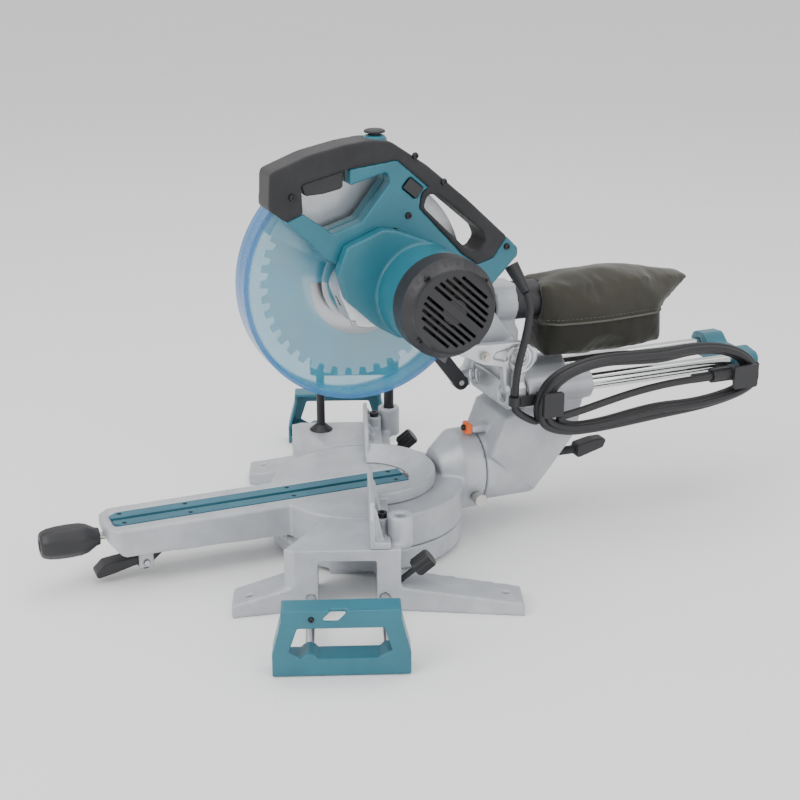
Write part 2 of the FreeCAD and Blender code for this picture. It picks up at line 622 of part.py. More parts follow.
def carriage():
    near_x, far_x, height = d.near_pole_x, d.far_pole_x, d.pole_height
    block = plate("clamp_block", [(far_x - 16, height - 15, 8), (near_x + 18, height - 15, 8),
                                  (near_x + 18, height + 15, 6), (far_x - 16, height + 15, 6)],
                  143, 21, "front")
    web = [(140, height + 6), (164, height + 6), (164, height + 20), (178, 204), (178, 216),
           (158, 226), (128, 227),
           (76, 231, 3), (74, 225, 3), (112, 206, 6), (136, 200)]
    near_ear = join("near_ear", [plate("near_web", web, 47, 12),
                                 bar("near_hub", 17, 13, (46.5, "hinge_y", "hinge_z"), "x")])
    far_web = [(140, height + 6), (164, height + 6), (172, 205), (146, 205), (132, 172), (119, 165, 5),
               (118, 150, 5), (140, 150)]
    far_ear = join("far_ear", [plate("far_web", far_web, -40, 9),
                               bar("far_hub", 15, 10, (-40, "hinge_y", "hinge_z"), "x")])
    solid = join("carriage_solid", [block, near_ear, far_ear])
    ring = cut("hub_groove", bar("hub_groove_outer", 14.5, 3, (56.6, "hinge_y", "hinge_z"), "x"),
               bar("hub_groove_inner", 9, 5, (56, "hinge_y", "hinge_z"), "x"))
    cuts = [bar("hinge_bore", "hinge_pin_radius", 120, (-50, "hinge_y", "hinge_z"), "x"), ring,
            plate("web_pocket", [(128, 218), (152, 222), (140, 206), (124, 211)], 55, 8),
            bar("near_pole_seat", "pole_radius", 40, ("near_pole_x", 130, "pole_height"), "y"),
            bar("far_pole_seat", "pole_radius", 40, ("far_pole_x", 130, "pole_height"), "y"),
            bar("link_bore", 3, 20, (-44, *LINK_PIVOT), "x"),
            bar("stop_seat", 3.5, 20, (44, 114, 215.5), "x")]
    node("carriage", cut("carriage_cut", solid, *cuts))
    poles = [bar(side + "_pole_bar", "pole_radius", "pole_rear - 145",
                 (side + "_pole_x", 145, "pole_height"), "y") for side in ("near", "far")]
    node("slide_poles", group("slide_pole_pair", poles))
    stop = join("stop_stud", [bar("stop_bar", 3.5, 22, (45, 114, 215.5), "x"),
                              hexagon("stop_nut", 10, 5, (59.2, 114, 215.5), "x")])
    pins = [bar("hinge_pin", "hinge_pin_radius", 98, (-40, "hinge_y", "hinge_z"), "x"),
            bar("link_pin", 3, 18, (-40, *LINK_PIVOT), "x"), stop]
    node("carriage_pins", group("carriage_pin_set", pins))


LINK_PIVOT = (125, 158)


def rail_end():
    near_x, far_x, height, rear = d.near_pole_x, d.far_pole_x, d.pole_height, d.pole_rear
    front = [(far_x - 15, height - 12, 8), (near_x + 18, height - 12, 8), (near_x + 18, height + 12, 10),
             (near_x - 8, height + 16, 6), (near_x - 22, height + 8, 6), (far_x + 22, height + 8, 6),
             (far_x + 10, height + 18, 8), (far_x - 15, height + 16, 10)]
    cap = cut("end_cap_cut", plate("end_cap_front", front, rear - 22, 28, "front"),
              bar("near_cap_seat", "pole_radius", 40, ("near_pole_x", "pole_rear - 40", "pole_height"), "y"),
              bar("far_cap_seat", "pole_radius", 40, ("far_pole_x", "pole_rear - 40", "pole_height"), "y"))
    node("pole_end_cap", cap)


def cord_hooks():
    out = d.near_pole_x + 18.1
    front = [plate("front_hook_arm", [(176, 152), (192, 152), (192, 168), (176, 168)], out + 0.1, 24),
             plate("front_hook_plate", [(172, 146, 3), (196, 146, 3), (196, 174, 3), (172, 174, 3)],
                   out + 24, 4)]
    strap = box("front_hook_strap", (4, 46, 12), (out, 146, 154))
    clip = cut("cord_clip_ring", bar("cord_clip_outer", 7, 10, (CLIP[0], CLIP[1], CLIP[2] - 5)),
               bar("cord_clip_bore", "cord_diameter / 2", 14, (CLIP[0], CLIP[1], CLIP[2] - 7)),
               box("cord_clip_back", (20, 20, 20), (out - 20, 136, 150)))
    solid = join("front_hook_solid", front + [strap])
    solid = cut("front_hook_clear", solid, bar("clip_room", 6.9, 30, (CLIP[0], CLIP[1], CLIP[2] - 15)))
    front_hook = join("front_hook", [solid, clip])
    rear = [plate("rear_hook_arm", [(424, 152), (442, 152), (442, 168), (424, 168)], out + 0.1, 24),
            plate("rear_hook_plate", [(416, 147, 3), (448, 147, 3), (448, 174, 3), (416, 174, 3)],
                  out + 24, 4),
            box("rear_hook_strap", (4, 42, 12), (out, 424, 154))]
    node("cord_hooks", group("cord_hook_pair", [front_hook, join("rear_hook", rear)]))


CLIP = (68.0, 147.0, 163.0)


# ---------------------------------------------------------------- head

def head_arm():
    outline = [(160, 190), (176, 204), (176, 226), (172, 233), (172, 279), (146, 279), (128, 281), (96, 281),
               (80, 240), (104, 219), (136, 194)]
    arm = plate("head_arm_side", outline, "-16", 32)
    barrel = bar("hinge_barrel", 16, 74.5, (-29, "hinge_y", "hinge_z"), "x")
    side_block = plate("gear_bridge", [(64, 262), (64, 292), (118, 280), (160, 224), (158, 192), (136, 194),
                                       (104, 226)], 16, 21)
    neck = bar("dust_neck", 23, 26, (0, 146, "nozzle_z"), "y")
    solid = join("head_arm_solid", [arm, barrel, side_block, neck])
    cuts = [bar("case_room", "case_radius + 0.2", 34.6, (-17, "blade_y", "blade_z"), "x"),
            bar("hinge_barrel_bore", "hinge_pin_radius + running_fit", 90, (-35, "hinge_y", "hinge_z"), "x"),
            bar("spring_room", 13.5, 44, (-18, "hinge_y", "hinge_z"), "x"),
            bar("dust_passage", 18, 90, (0, 90, "nozzle_z"), "y"),
            bar("nozzle_seat", "nozzle_radius - 1.5", 14, (0, 160, "nozzle_z"), "y"),
            plate("gearbox_room", GEARBOX, 17.6, 40)]
    solid.Refine = False
    bored = cut("head_arm_cut", solid, *cuts)
    bored.Refine = False
    node("head_arm", bored)
    nozzle = cut("nozzle_open", join("nozzle_solid", [
        bar("nozzle_collar", "nozzle_radius - 1.5", 14, (0, 160, "nozzle_z"), "y"),
        bar("nozzle_tube", "nozzle_radius", 30, (0, 172.2, "nozzle_z"), "y")]),
        bar("nozzle_bore", "nozzle_radius - 4", 60, (0, 150, "nozzle_z"), "y"))
    node("dust_nozzle", nozzle)
    coil = Part.makeHelix(3.4, 32, 10)
    profile = Part.Wire([Part.Circle(Vector(10, 0, 0), Vector(0, 1, 0), 1.25).toShape()])
    spring = doc.addObject("Part::Feature", "spring_coil")
    spring.Shape = Part.Wire(coil).makePipeShell([profile], True, True)
    spring.Placement = Placement(Vector(-12, d.hinge_y, d.hinge_z), ALONG["x"])
    node("return_spring", spring)


def upper_guard():
    start, end = -48, 150
    disc = bar("case_disc", "case_radius", "2 * case_half_width", ("-case_half_width", "blade_y", "blade_z"), "x")
    hollow = bar("case_hollow", "case_radius - 2.5", "2 * case_half_width - 4",
                 ("2 - case_half_width", "blade_y", "blade_z"), "x")
    far = d.case_radius + 80
    corner = [BLADE] + sector(BLADE, far, end, 360 + start, 6)
    mouth = plate("case_mouth", corner, "-case_half_width - 1", "2 * case_half_width + 2")
    arbor_window = bar("case_arbor_window", 30.4, 8, ("case_half_width - 6", "blade_y", "blade_z"), "x")
    service = bar("case_service_hole", 24, 8, ("-case_half_width - 2", "blade_y", "blade_z"), "x")
    keep_hub = bar("case_hub", 44, "2", ("case_half_width - 2", "blade_y", "blade_z"), "x")
    shell = join("case_with_hub", [cut("case_shell", disc, hollow, mouth), keep_hub])
    port = bar("case_dust_port", 17, 60, (0, 80, "nozzle_z"), "y")
    node("blade_case", cut("case_cut", shell, arbor_window, service, port))


def lower_guard():
    start, end = 132, 311.5
    disc = bar("guard_disc", "guard_radius", "2 * guard_half_width",
               ("-guard_half_width", "blade_y", "blade_z"), "x")
    hollow = bar("guard_hollow", "guard_radius - guard_wall - 1", "2 * (guard_half_width - guard_wall)",
                 ("guard_wall - guard_half_width", "blade_y", "blade_z"), "x")
    shell = cut("guard_shell", disc, hollow)
    far = d.guard_radius + 90
    away = plate("guard_away", [BLADE] + sector(BLADE, far, end, 360 + start, 6),
                 "-guard_half_width - 1", "2 * guard_half_width + 2")
    near_window = bar("guard_window", 58, 8, ("guard_half_width - 4", "blade_y", "blade_z"), "x")
    far_window = bar("guard_far_window", 58, 8, ("-guard_half_width - 4", "blade_y", "blade_z"), "x")
    band = cut("guard_band", shell, away, near_window, far_window)
    hub = cut("guard_hub", bar("guard_hub_disc", 39, "guard_wall",
                               ("guard_half_width - guard_wall", "blade_y", "blade_z"), "x"),
              bar("guard_hub_bore", 30.4, 20, ("guard_half_width - 10", "blade_y", "blade_z"), "x"))
    spoke_points = sector(BLADE, 38, 132, 176, 3) + sector(BLADE, 60, 176, 132, 3)
    spoke = plate("guard_spoke", spoke_points, "guard_half_width - guard_wall", "guard_wall")
    node("lower_guard", join("guard_joined", [band, hub, spoke]))


def blade_set():
    pitch = math.radians(360 / d.blade_teeth)
    rim, root = d.blade_radius, d.blade_radius - 9
    gap = [(rim * 1.03, 0), (root, rim * 0.012, 1.5), ((root + 2) * math.cos(pitch * 0.5),
           (root + 2) * math.sin(pitch * 0.5), 2), (rim * 1.03 * math.cos(pitch * 0.62),
           rim * 1.03 * math.sin(pitch * 0.62))]
    disc = toothed("blade_disc", d.blade_radius, "blade_plate", d.blade_teeth, gap,
                   ("-blade_plate / 2", "blade_y", "blade_z"))
    node("saw_blade", cut("blade", disc, bar("blade_bore", "arbor_radius", 10, (-5, "blade_y", "blade_z"), "x")))
    centre = ("blade_y", "blade_z")
    shaft = join("arbor_solid", [bar("arbor_bar", "arbor_radius", 54, (-4, *centre), "x"),
                                 bar("arbor_seat", 10, 12, (10, *centre), "x")])
    node("arbor", cut("arbor_cut", shaft, bar("arbor_thread", 4, 24, (-6, *centre), "x")))
    inner = cut("inner_flange_cut", bar("inner_flange_disc", 20, 6.5, ("blade_plate / 2", *centre), "x"),
                bar("inner_flange_bore", "arbor_radius", 20, (-5, *centre), "x"))
    outer = cut("outer_flange_cut", bar("outer_flange_disc", 20, 3.4, ("-blade_plate / 2 - 3.4", *centre), "x"),
                bar("outer_flange_bore", "arbor_radius", 20, (-10, *centre), "x"))
    node("blade_flanges", group("blade_flange_pair", [inner, outer]))
    node("blade_bolt", join("blade_bolt_solid", [bar("blade_bolt_shank", 4, 20, (-4.3, *centre), "x"),
                                                 hexagon("blade_bolt_head", 13, 5, (-9.3, *centre), "x")]))


def gear_gap(teeth, module):
    """The space between two teeth of a spur gear, a little wider than a tooth for backlash."""
    rim, root = module * (teeth / 2 + 0.85), module * (teeth / 2 - 1.15)
    half_root, half_rim = 0.55 * module, 1.32 * module
    return [(rim + 1, -half_rim - 0.35), (root, -half_root), (root, half_root), (rim + 1, half_rim + 0.35)]


def gear_train():
    spread = math.hypot(d.motor_y - d.blade_y, d.motor_z - d.blade_z)
    module = 2 * spread / (d.gear_teeth + d.pinion_teeth)
    lean = math.degrees(math.atan2(d.motor_z - d.blade_z, d.motor_y - d.blade_y))
    gear = toothed("gear_disc", module * (d.gear_teeth / 2 + 0.85), "10", d.gear_teeth,
                   gear_gap(d.gear_teeth, module), (0, 0, 0))
    put(gear, gear_place(28, BLADE, lean))
    node("drive_gear", cut("gear_bored", gear, bar("gear_bore", "arbor_radius", 30,
                                                   (20, "blade_y", "blade_z"), "x")))
    pinion = toothed("pinion_disc", module * (d.pinion_teeth / 2 + 0.85), "12", d.pinion_teeth,
                     gear_gap(d.pinion_teeth, module), (0, 0, 0))
    return put(pinion, gear_place(27, MOTOR, lean + 180 + 180 / d.pinion_teeth))


def gear_place(across, centre, angle):
    """A gear drawn in its own plane, stood up about the X direction and turned by angle from +Y."""
    upright = Rotation(Vector(0, 1, 0), Vector(0, 0, 1), Vector(1, 0, 0), "ZXY")
    turned = Rotation(Vector(1, 0, 0), angle).multiply(upright)
    return Placement(Vector(across, *centre), turned)


def gearbox():
    case = plate("gearbox_outline", GEARBOX, 19.2, 34)
    centre = ("blade_y", "blade_z")
    nose = bar("gearbox_nose", 30, 8, (12.2, *centre), "x")
    gear_room = bar("gear_room", 36.6, 14, (25, *centre), "x")
    pinion_room = bar("pinion_room", 13.6, 16, (25, "motor_y", "motor_z"), "x")
    bearing_room = bar("arbor_bearing_room", 13, 14, (12, *centre), "x")
    rear_bearing = bar("gear_bearing_room", 13, 12, (38.9, *centre), "x")
    shaft_room = bar("motor_shaft_room", 9, 30, (40, "motor_y", "motor_z"), "x")
    node("gearbox", cut("gearbox_cut", join("gearbox_solid", [case, nose]), gear_room, pinion_room,
                        bearing_room, rear_bearing, shaft_room))
    rings = []
    for label, start, depth, outer_r, inner_r, place in (
            ("arbor", 22, 3, 13, 10.05, centre), ("gear", 39, 9, 13, 7.99, centre),
            ("motor_front", 42, 9, 9, 5.05, ("motor_y", "motor_z")),
            ("motor_rear", 128, 8, 9, 5.05, ("motor_y", "motor_z"))):
        rings.append(cut(label + "_bearing", bar(label + "_bearing_outer", outer_r, depth, (start, *place), "x"),
                         bar(label + "_bearing_bore", inner_r, depth + 2, (start - 1, *place), "x")))
    node("ball_bearings", group("bearing_set", rings))


def motor(pinion):
    flange = [(-55, 326, 8), (-45, 352, 8), (-6, 367, 6), (8, 365, 6), (60, 344, 14), (85, 318, 20),
              (87, 285, 20), (70, 258, 20), (37, 248, 20), (12, 250, 12), (-14, 266, 10), (-46, 296, 12)]
    axis = ("motor_y", "motor_z")
    barrel = bar("motor_barrel", "motor_radius", "motor_end - 54", (54, *axis), "x")
    brush_tube = bar("brush_tube", 11, 20, (96, "motor_y", "motor_z - 54"), "z")
    solid = join("motor_solid", [plate("motor_flange", flange, 53.6, 14), barrel, brush_tube])
    cavity = bar("motor_cavity", "motor_radius - 4", "motor_end - 56", (58, *axis), "x")
    hole = bar("motor_shaft_hole", 12, 20, (50, *axis), "x")
    node("motor_housing", cut("motor_cut", solid, cavity, hole))
    cap = [bar("cap_skirt", "motor_radius + 1.5", 22, ("motor_end + 0.2", *axis), "x"),
           taper("cap_taper", "motor_radius + 1.5", 43, 8, ("motor_end + 22.2", *axis), "x"),
           bar("cap_face", 43, "cap_end - motor_end - 30", ("motor_end + 30", *axis), "x")]
    slots = []
    for number in range(-5, 6):
        if number != 0:
            reach = math.sqrt(36 ** 2 - (number * 6.2) ** 2)
            slot = doc.addObject("Part::Box", f"cap_slot_{number + 5}")
            slot.Length, slot.Width, slot.Height = 12, 2 * reach, 3.2
            turn = Rotation(Vector(1, 0, 0), -42)
            offset = turn.multVec(Vector(0, -reach, number * 6.2 - 1.6))
            slot.Placement = Placement(Vector(d.cap_end - 8, *MOTOR) + offset, turn)
            slots.append(slot)
    hollow = [bar("cap_hollow", "motor_radius - 2", 24, ("motor_end - 1", *axis), "x"),
              bar("cap_hollow_face", 40, "cap_end - motor_end - 3", ("motor_end", *axis), "x")]
    shell = cut("cap_shell", join("cap_solid", cap), *hollow)
    seat = bar("cap_bearing_seat", 13, 13, ("cap_end - 14", *axis), "x")
    bored = cut("cap_seat_cut", join("cap_with_seat", [cut("cap_slotted", shell, *slots), seat]),
                bar("cap_bearing_room", 9, 9.1, ("cap_end - 22.1", *axis), "x"))
    node("motor_end_cap", bored)
    node("motor_stator", cut("stator_cut", bar("stator_body", "motor_radius - 4", 36, (62, *axis), "x"),
                             bar("stator_bore", 29, 50, (60, *axis), "x")))
    rotor = join("rotor_solid", [bar("rotor_shaft", 5, 109, (26.5, *axis), "x"), pinion,
                                 bar("rotor_core", 28.4, 34, (63, *axis), "x"),
                                 bar("commutator", 14, 14, (102, *axis), "x")])
    node("armature", rotor)
    fan = cut("fan_cut", bar("fan_disc", 38, 3, (119, *axis), "x"), bar("fan_bore", 5, 9, (116, *axis), "x"))
    blades = []
    for number in range(9):
        vane = doc.addObject("Part::Box", f"fan_vane_{number}")
        vane.Length, vane.Width, vane.Height = 5, 2, 22
        turn = Rotation(Vector(1, 0, 0), 40 * number)
        vane.Placement = Placement(Vector(121.9, *MOTOR) + turn.multVec(Vector(0, -1, 14)), turn)
        blades.append(vane)
    node("cooling_fan", join("fan_solid", [fan] + blades))
    holders = [box("brush_front", (8, 14, 8), (105, "motor_y - 30", "motor_z - 4")),
               box("brush_rear", (8, 14, 8), (105, "motor_y + 16", "motor_z - 4"))]
    node("carbon_brushes", group("brush_pair", holders))


GRIP_SEAM = [(140, 344), (124, 322), (106, 317), (88, 330), (40, 382), (42, 398), (50, 403), (15, 434)]
TRIGGER_END = (-38, 428)
GRIP = [(-104, 380), (-122, 393, 6), (-120, 430, 6), (-80, 445, 60), (-41, 453, 60), (-14, 456, 40),
        (8, 453, 20), (48, 426, 40), (94, 387, 60)] + GRIP_SEAM + [TRIGGER_END, (-88, 416, 4), (-86, 387)]


def handle():
    start = d.handle_middle - d.handle_half
    carry = [(49, 396, 5), (44, 383, 6), (92, 336, 8), (106, 329, 6), (115, 341, 8), (110, 353, 8), (62, 394, 6)]
    grip_body = plate("grip_outline", GRIP, "handle_middle - handle_half - 1", "2 * handle_half + 2")
    trigger_room = box("trigger_room", (22.8, 49, 38), ("handle_middle - 11.4", -87.5, 401))
    button_room = bar("button_room", 7.05, 40, ("handle_middle", -3, 430))
    node("handle_grip", cut("grip_cut", grip_body, plate("carry_opening", carry, start - 5, 50),
                            trigger_room, button_room))
    seam_low = (-36, 428 + 6 * 2 / 53)
    shell = [(-104, 380), (-77, 354, 8), (-60, 336, 8), (-42, 328, 4), (-28, 338.5, 4), (58, 338.5, 4),
             (80, 312, 6),
             (86, 296, 6), (108, 285, 6), (122, 290, 6), (154, 322, 6), (154, 330, 4)] + GRIP_SEAM + [
                 seam_low, (-36, 411), (-23, 415), (4, 422, 4), (8, 412, 6), (-23, 374, 8),
                 (-55, 364, 5), (-86, 387)]
    for side, low in (("far", "handle_middle - handle_half"), ("near", "handle_middle")):
        body = plate(side + "_shell_outline", shell, low, "handle_half")
        inner = [(-96, 381), (-76, 360), (-58, 343), (-40, 336), (-26, 344), (56, 344), (84, 318), (92, 302),
                 (108, 293), (118, 296), (147, 325), (138, 334), (122, 314), (106, 310), (84, 324), (34, 380),
                 (36, 396), (12, 426), (11, 410), (-20, 368), (-56, 358), (-86, 380)]
        cavity = plate(side + "_shell_cavity", inner, "handle_middle - handle_half + 3" if side == "far"
                       else "handle_middle - 1", "handle_half - 3" if side == "far" else "handle_half - 2")
        cuts = [cavity]
        if side == "near":
            cuts.append(rocker_frame("rocker_window", 0.0, "handle_middle + handle_half - 6", 14))
        cuts.append(bar(side + "_cord_exit", 7, 40, ("handle_middle", 136, 330), "y"))
        node(side + "_handle_shell", cut(side + "_shell_cut", body, *cuts))


def rocker_frame(name, spare, start, depth):
    """The slanted rectangle that the lamp switch fills."""
    turn = math.radians(-40)
    corners = []
    for along, up in ((-10, -7), (10, -7), (10, 7), (-10, 7)):
        along, up = along - math.copysign(spare, along), up - math.copysign(spare, up)
        corners.append((ROCKER[0] + along * math.cos(turn) - up * math.sin(turn),
                        ROCKER[1] + along * math.sin(turn) + up * math.cos(turn)))
    return plate(name, corners, start, depth)


ROCKER = (32, 404)


def controls():
    outline = [(-86, 415.2, 3), (-40, 426.4, 2), (-42, 408, 4), (-62, 404, 20), (-82, 403, 4)]
    body = join("trigger_solid", [plate("trigger_outline", outline, "handle_middle - 11", 22),
                                  box("trigger_stem", (12, 10, 14), ("handle_middle - 6", -62, 412))])
    node("trigger", body)
    button = join("button_solid", [bar("button_stem", 7, 16, ("handle_middle", -3, "443")),
                                   bar("button_top", 11, 3.5, ("handle_middle", -3, 460.5)),
                                   bar("button_waist", 5, 6, ("handle_middle", -3, 456))])
    node("lock_off_button", button)
    body = rocker_frame("rocker_body", 0.7, "handle_middle + handle_half - 3.6", 5)
    node("rocker_switch", body)
    node("switch_block", box("switch_block_box", (21, 34, 7), ("handle_middle - 10.5", -78, 431.5)))


def strain_relief():
    start, end = Vector(*RELIEF_START), Vector(*CORD_EXIT)
    relief = doc.addObject("Part::Cone", "relief_taper")
    relief.Radius1, relief.Radius2, relief.Height = 8, 5.6, (end - start).Length
    relief.Placement = Placement(start, Rotation(Vector(0, 0, 1), end - start))
    node("strain_relief", relief)


RELIEF_START = (46.0, 149.5, 310.0)
CORD_EXIT = (62.0, 160.0, 283.0)


def chute():
    body = plate("chute_side", [(62, 222, 3), (76, 232, 3), (96, 214, 3), (88, 196, 3), (74, 186, 3)], -13, 26)
    hollow = plate("chute_hollow", [(60, 220), (74, 229), (92, 213), (85, 198), (70, 184)], -10.5, 21)
    guard_side = plate("chute_guard_side", [BLADE] + sector(BLADE, d.guard_radius + 40, 270, 313, 3), -20, 40)
    node("dust_chute", cut("chute_cut", body, hollow, guard_side,
                           bar("chute_clear", "case_radius + 0.4", 40, (-20, "blade_y", "blade_z"), "x")))


def guard_link():
    ends = (LINK_PIVOT, (74, 226))
    away = math.atan2(ends[1][1] - ends[0][1], ends[1][0] - ends[0][0])
    side = (-8 * math.sin(away), 8 * math.cos(away))
    outline = [(ends[0][0] + side[0], ends[0][1] + side[1], 6), (ends[1][0] + side[0], ends[1][1] + side[1], 6),
               (ends[1][0] - side[0], ends[1][1] - side[1], 6), (ends[0][0] - side[0], ends[0][1] - side[1], 6)]
    body = join("link_solid", [plate("link_side", outline, -29.5, 7),
                               bar("link_boss", 8.5, 7, (-29.5, *ends[0]), "x")])
    node("guard_link", cut("link_cut", body, bar("link_pin_bore", 3.05, 20, (-36, *ends[0]), "x")))


# ---------------------------------------------------------------- soft pieces

def dust_bag():
    side = [(193, 233, 4), (193, 279, 4), (300, 281, 40), (408, 270, 3), (362, 233, 6), (362, 192, 6),
            (200, 190, 4), (200, 233)]
    bag = common("bag_shape", plate("bag_side", side, -34, 68),
                 plate("bag_plan", [(-28, 192), (-34, 240, 30), (-34, 320, 60), (-10, 412, 6), (10, 412, 6),
                                    (34, 320, 60), (34, 240, 30), (28, 192)], 180, 120, "plan"))
    node("dust_bag", cut("bag_cut", bag, bar("bag_mouth", "nozzle_radius + 0.3", 14,
                                             (0, 190, "nozzle_z"), "y")))


LEAD = [(62.0, 160.0, 283.0), (67.0, 163.5, 270.0), (68.0, 161.0, 250.0), (68.0, 156.0, 226.0),
        (68.0, 150.0, 203.0), (68.0, 147.2, 182.0), (68.0, 147.0, 168.0)]


def bent_tube(name, points, radius):
    """A tube along straight runs joined by tangent arcs, each as large as its two runs allow."""
    points = [Vector(*point) for point in points]
    edges, start = [], points[0]
    for before, here, after in zip(points, points[1:], points[2:]):
        back, ahead = before - here, after - here
        turn = math.pi - back.getAngle(ahead)
        reach = 0.45 * min(back.Length, ahead.Length)
        bend = reach / math.tan(turn / 2)
        print(f"{name}: turn {math.degrees(turn):.0f} degrees, radius {bend:.0f}")
        back.normalize()
        ahead.normalize()
        inward = (back + ahead).normalize()
        first, last = here + back * reach, here + ahead * reach
        middle = here + inward * (math.hypot(reach, bend) - bend)
        edges += [Part.LineSegment(start, first).toShape(), Part.Arc(first, middle, last).toShape()]
        start = last
    edges.append(Part.LineSegment(start, points[-1]).toShape())
    path = Part.Wire(edges)
    profile = Part.Wire([Part.Circle(points[0], points[1] - points[0], radius).toShape()])
    tube = doc.addObject("Part::Feature", name + "_tube")
    tube.Shape = path.makePipeShell([profile], True, True)
    expected = math.pi * radius ** 2 * path.Length
    print(f"{name}: length {path.Length:.1f}, volume {tube.Shape.Volume / expected:.4f} of the expected")
    return tube


def cords():
    lead = bent_tube("cord_lead", LEAD, d.cord_diameter / 2)
    node("cord_lead", cut("cord_lead_end", lead, doc.getObject("relief_taper")))
    outer = [(166, 140, 20), (178, 180, 30), (240, 206, 60), (400, 204, 60), (456, 180, 22), (456, 146, 24),
             (380, 124, 60), (200, 118, 30)]
    inner = [(173, 148, 3), (174, 174, 3), (244, 188, 40), (396, 186, 40), (447, 175, 3), (447, 149, 3),
             (380, 141, 40), (206, 136, 20)]
    start = d.near_pole_x + 22.4
    node("cord_winding", cut("winding", plate("winding_outer", outer, start, 19.4),
                             plate("winding_inner", inner, start - 1, 24)))
    plug = join("plug_solid", [bar("plug_body", 8, 26, (start + 11, 392, 163), "y"),
                               bar("plug_sleeve", 5.5, 24, (start + 11, 368, 163), "y")])
    node("plug", plug)


# ---------------------------------------------------------------- making and export

base_casting()
base_details()
fence()
vise()
for side_name, side_sign in SIDES.items():
    wing(side_name, side_sign)
turntable()
turntable_details()
mitre_controls()
bevel_arm()
bevel_details()
carriage()
rail_end()
cord_hooks()
head_arm()
upper_guard()
lower_guard()
blade_set()
motor_pinion = gear_train()
gearbox()
motor(motor_pinion)
handle()
controls()
strain_relief()
chute()
guard_link()
dust_bag()
cords()
doc.recompute()

faults = [item.Name for item in doc.Objects if {"Invalid", "Error"} & set(item.State)]
if faults:
    raise ValueError("these objects failed: " + ", ".join(faults))
for name, item in NODES.items():
    if item.Shape.isNull() or not item.Shape.isValid() or not item.Shape.Solids:
        raise ValueError(name + " has no valid solid")
os.makedirs("parts", exist_ok=True)
for name, item in NODES.items():
    item.Shape.exportStep(f"parts/{name}.step")
    print(f"{name}: {len(item.Shape.Solids)} solids, {item.Shape.Volume / 1000:.2f} cm3")
print(len(NODES), "nodes")
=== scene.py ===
import json
import math
import random

import bmesh
import bpy
from mathutils import Matrix, Vector, noise


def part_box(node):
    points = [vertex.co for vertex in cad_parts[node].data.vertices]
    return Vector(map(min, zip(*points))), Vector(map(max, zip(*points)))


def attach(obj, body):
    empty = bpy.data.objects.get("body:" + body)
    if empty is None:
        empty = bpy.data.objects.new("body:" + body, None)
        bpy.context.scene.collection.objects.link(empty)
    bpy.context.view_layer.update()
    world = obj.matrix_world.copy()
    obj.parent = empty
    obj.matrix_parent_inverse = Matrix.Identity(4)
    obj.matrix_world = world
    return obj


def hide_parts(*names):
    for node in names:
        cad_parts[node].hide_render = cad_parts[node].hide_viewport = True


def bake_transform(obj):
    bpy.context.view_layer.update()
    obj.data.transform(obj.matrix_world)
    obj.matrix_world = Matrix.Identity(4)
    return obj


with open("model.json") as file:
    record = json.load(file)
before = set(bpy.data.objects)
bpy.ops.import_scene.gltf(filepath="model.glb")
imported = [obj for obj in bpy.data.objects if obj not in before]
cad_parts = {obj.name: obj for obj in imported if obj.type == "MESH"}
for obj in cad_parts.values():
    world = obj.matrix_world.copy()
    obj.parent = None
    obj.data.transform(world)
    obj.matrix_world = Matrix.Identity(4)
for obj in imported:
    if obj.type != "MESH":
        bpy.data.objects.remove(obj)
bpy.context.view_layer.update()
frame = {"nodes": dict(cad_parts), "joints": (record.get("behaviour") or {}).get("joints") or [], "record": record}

bl_info = {
    "name": "Mitre saw on stand",
    "version": (1, 0, 0),
    "blender": (4, 5, 0),
    "location": "3D View > Sidebar > Mitre saw",
    "description": "Builds the looks of a sliding mitre saw around its packed frame",
    "category": "Object",
}

MM = 0.001
NODES = frame["nodes"]
JOINTS = {joint["name"]: joint for joint in frame["joints"]}
ACROSS = Vector(JOINTS["chop"]["axis"]).normalized()
REAR = Vector(JOINTS["bevel"]["axis"]).normalized()
UP = Vector((0, 0, 1))
ARM = Matrix((ACROSS, REAR, UP)).transposed().to_4x4()
BLADE = ARM.inverted() @ Vector(JOINTS["blade_spin"]["pos_m"])
MOTOR = ARM.inverted() @ Vector(JOINTS["motor_spin"]["pos_m"])


def at(across, rear, up):
    """A point given in millimetres on the arm, in the frame's metres."""
    return ARM @ (Vector((across, rear, up)) * MM)


def arm_box(node):
    """Lowest and highest corners of a node along the arm's own directions, in metres."""
    points = [ARM.inverted() @ v.co for v in NODES[node].data.vertices]
    low = Vector([min(p[i] for p in points) for i in range(3)])
    return low, Vector([max(p[i] for p in points) for i in range(3)])


# ---------------------------------------------------------------- settings a user would change

class SAW_PG_sizes(bpy.types.PropertyGroup):
    cord_diameter: bpy.props.FloatProperty(
        name="Cord diameter", description="Outer diameter of the mains lead",
        default=8.5 * MM, min=4 * MM, subtype="DISTANCE", unit="LENGTH")
    cord_turns: bpy.props.IntProperty(
        name="Cord turns", description="Turns of the lead wound over the two hooks", default=4, min=1, max=4)
    screw_head: bpy.props.FloatProperty(
        name="Screw head", description="Head diameter of the case screws",
        default=7.4 * MM, subtype="DISTANCE", unit="LENGTH")
    stitch: bpy.props.FloatProperty(
        name="Stitch", description="Length of one stitch of the dust bag",
        default=3.2 * MM, subtype="DISTANCE", unit="LENGTH")
    bag_swell: bpy.props.FloatProperty(
        name="Bag swell", description="How far a point of the dust bag may swell",
        default=7 * MM, subtype="DISTANCE", unit="LENGTH")


def colour(label, red, green, blue):
    return bpy.props.FloatVectorProperty(
        name=label, description=label + " colour of the finish", subtype="COLOR", size=3,
        min=0, max=1, default=(red, green, blue))


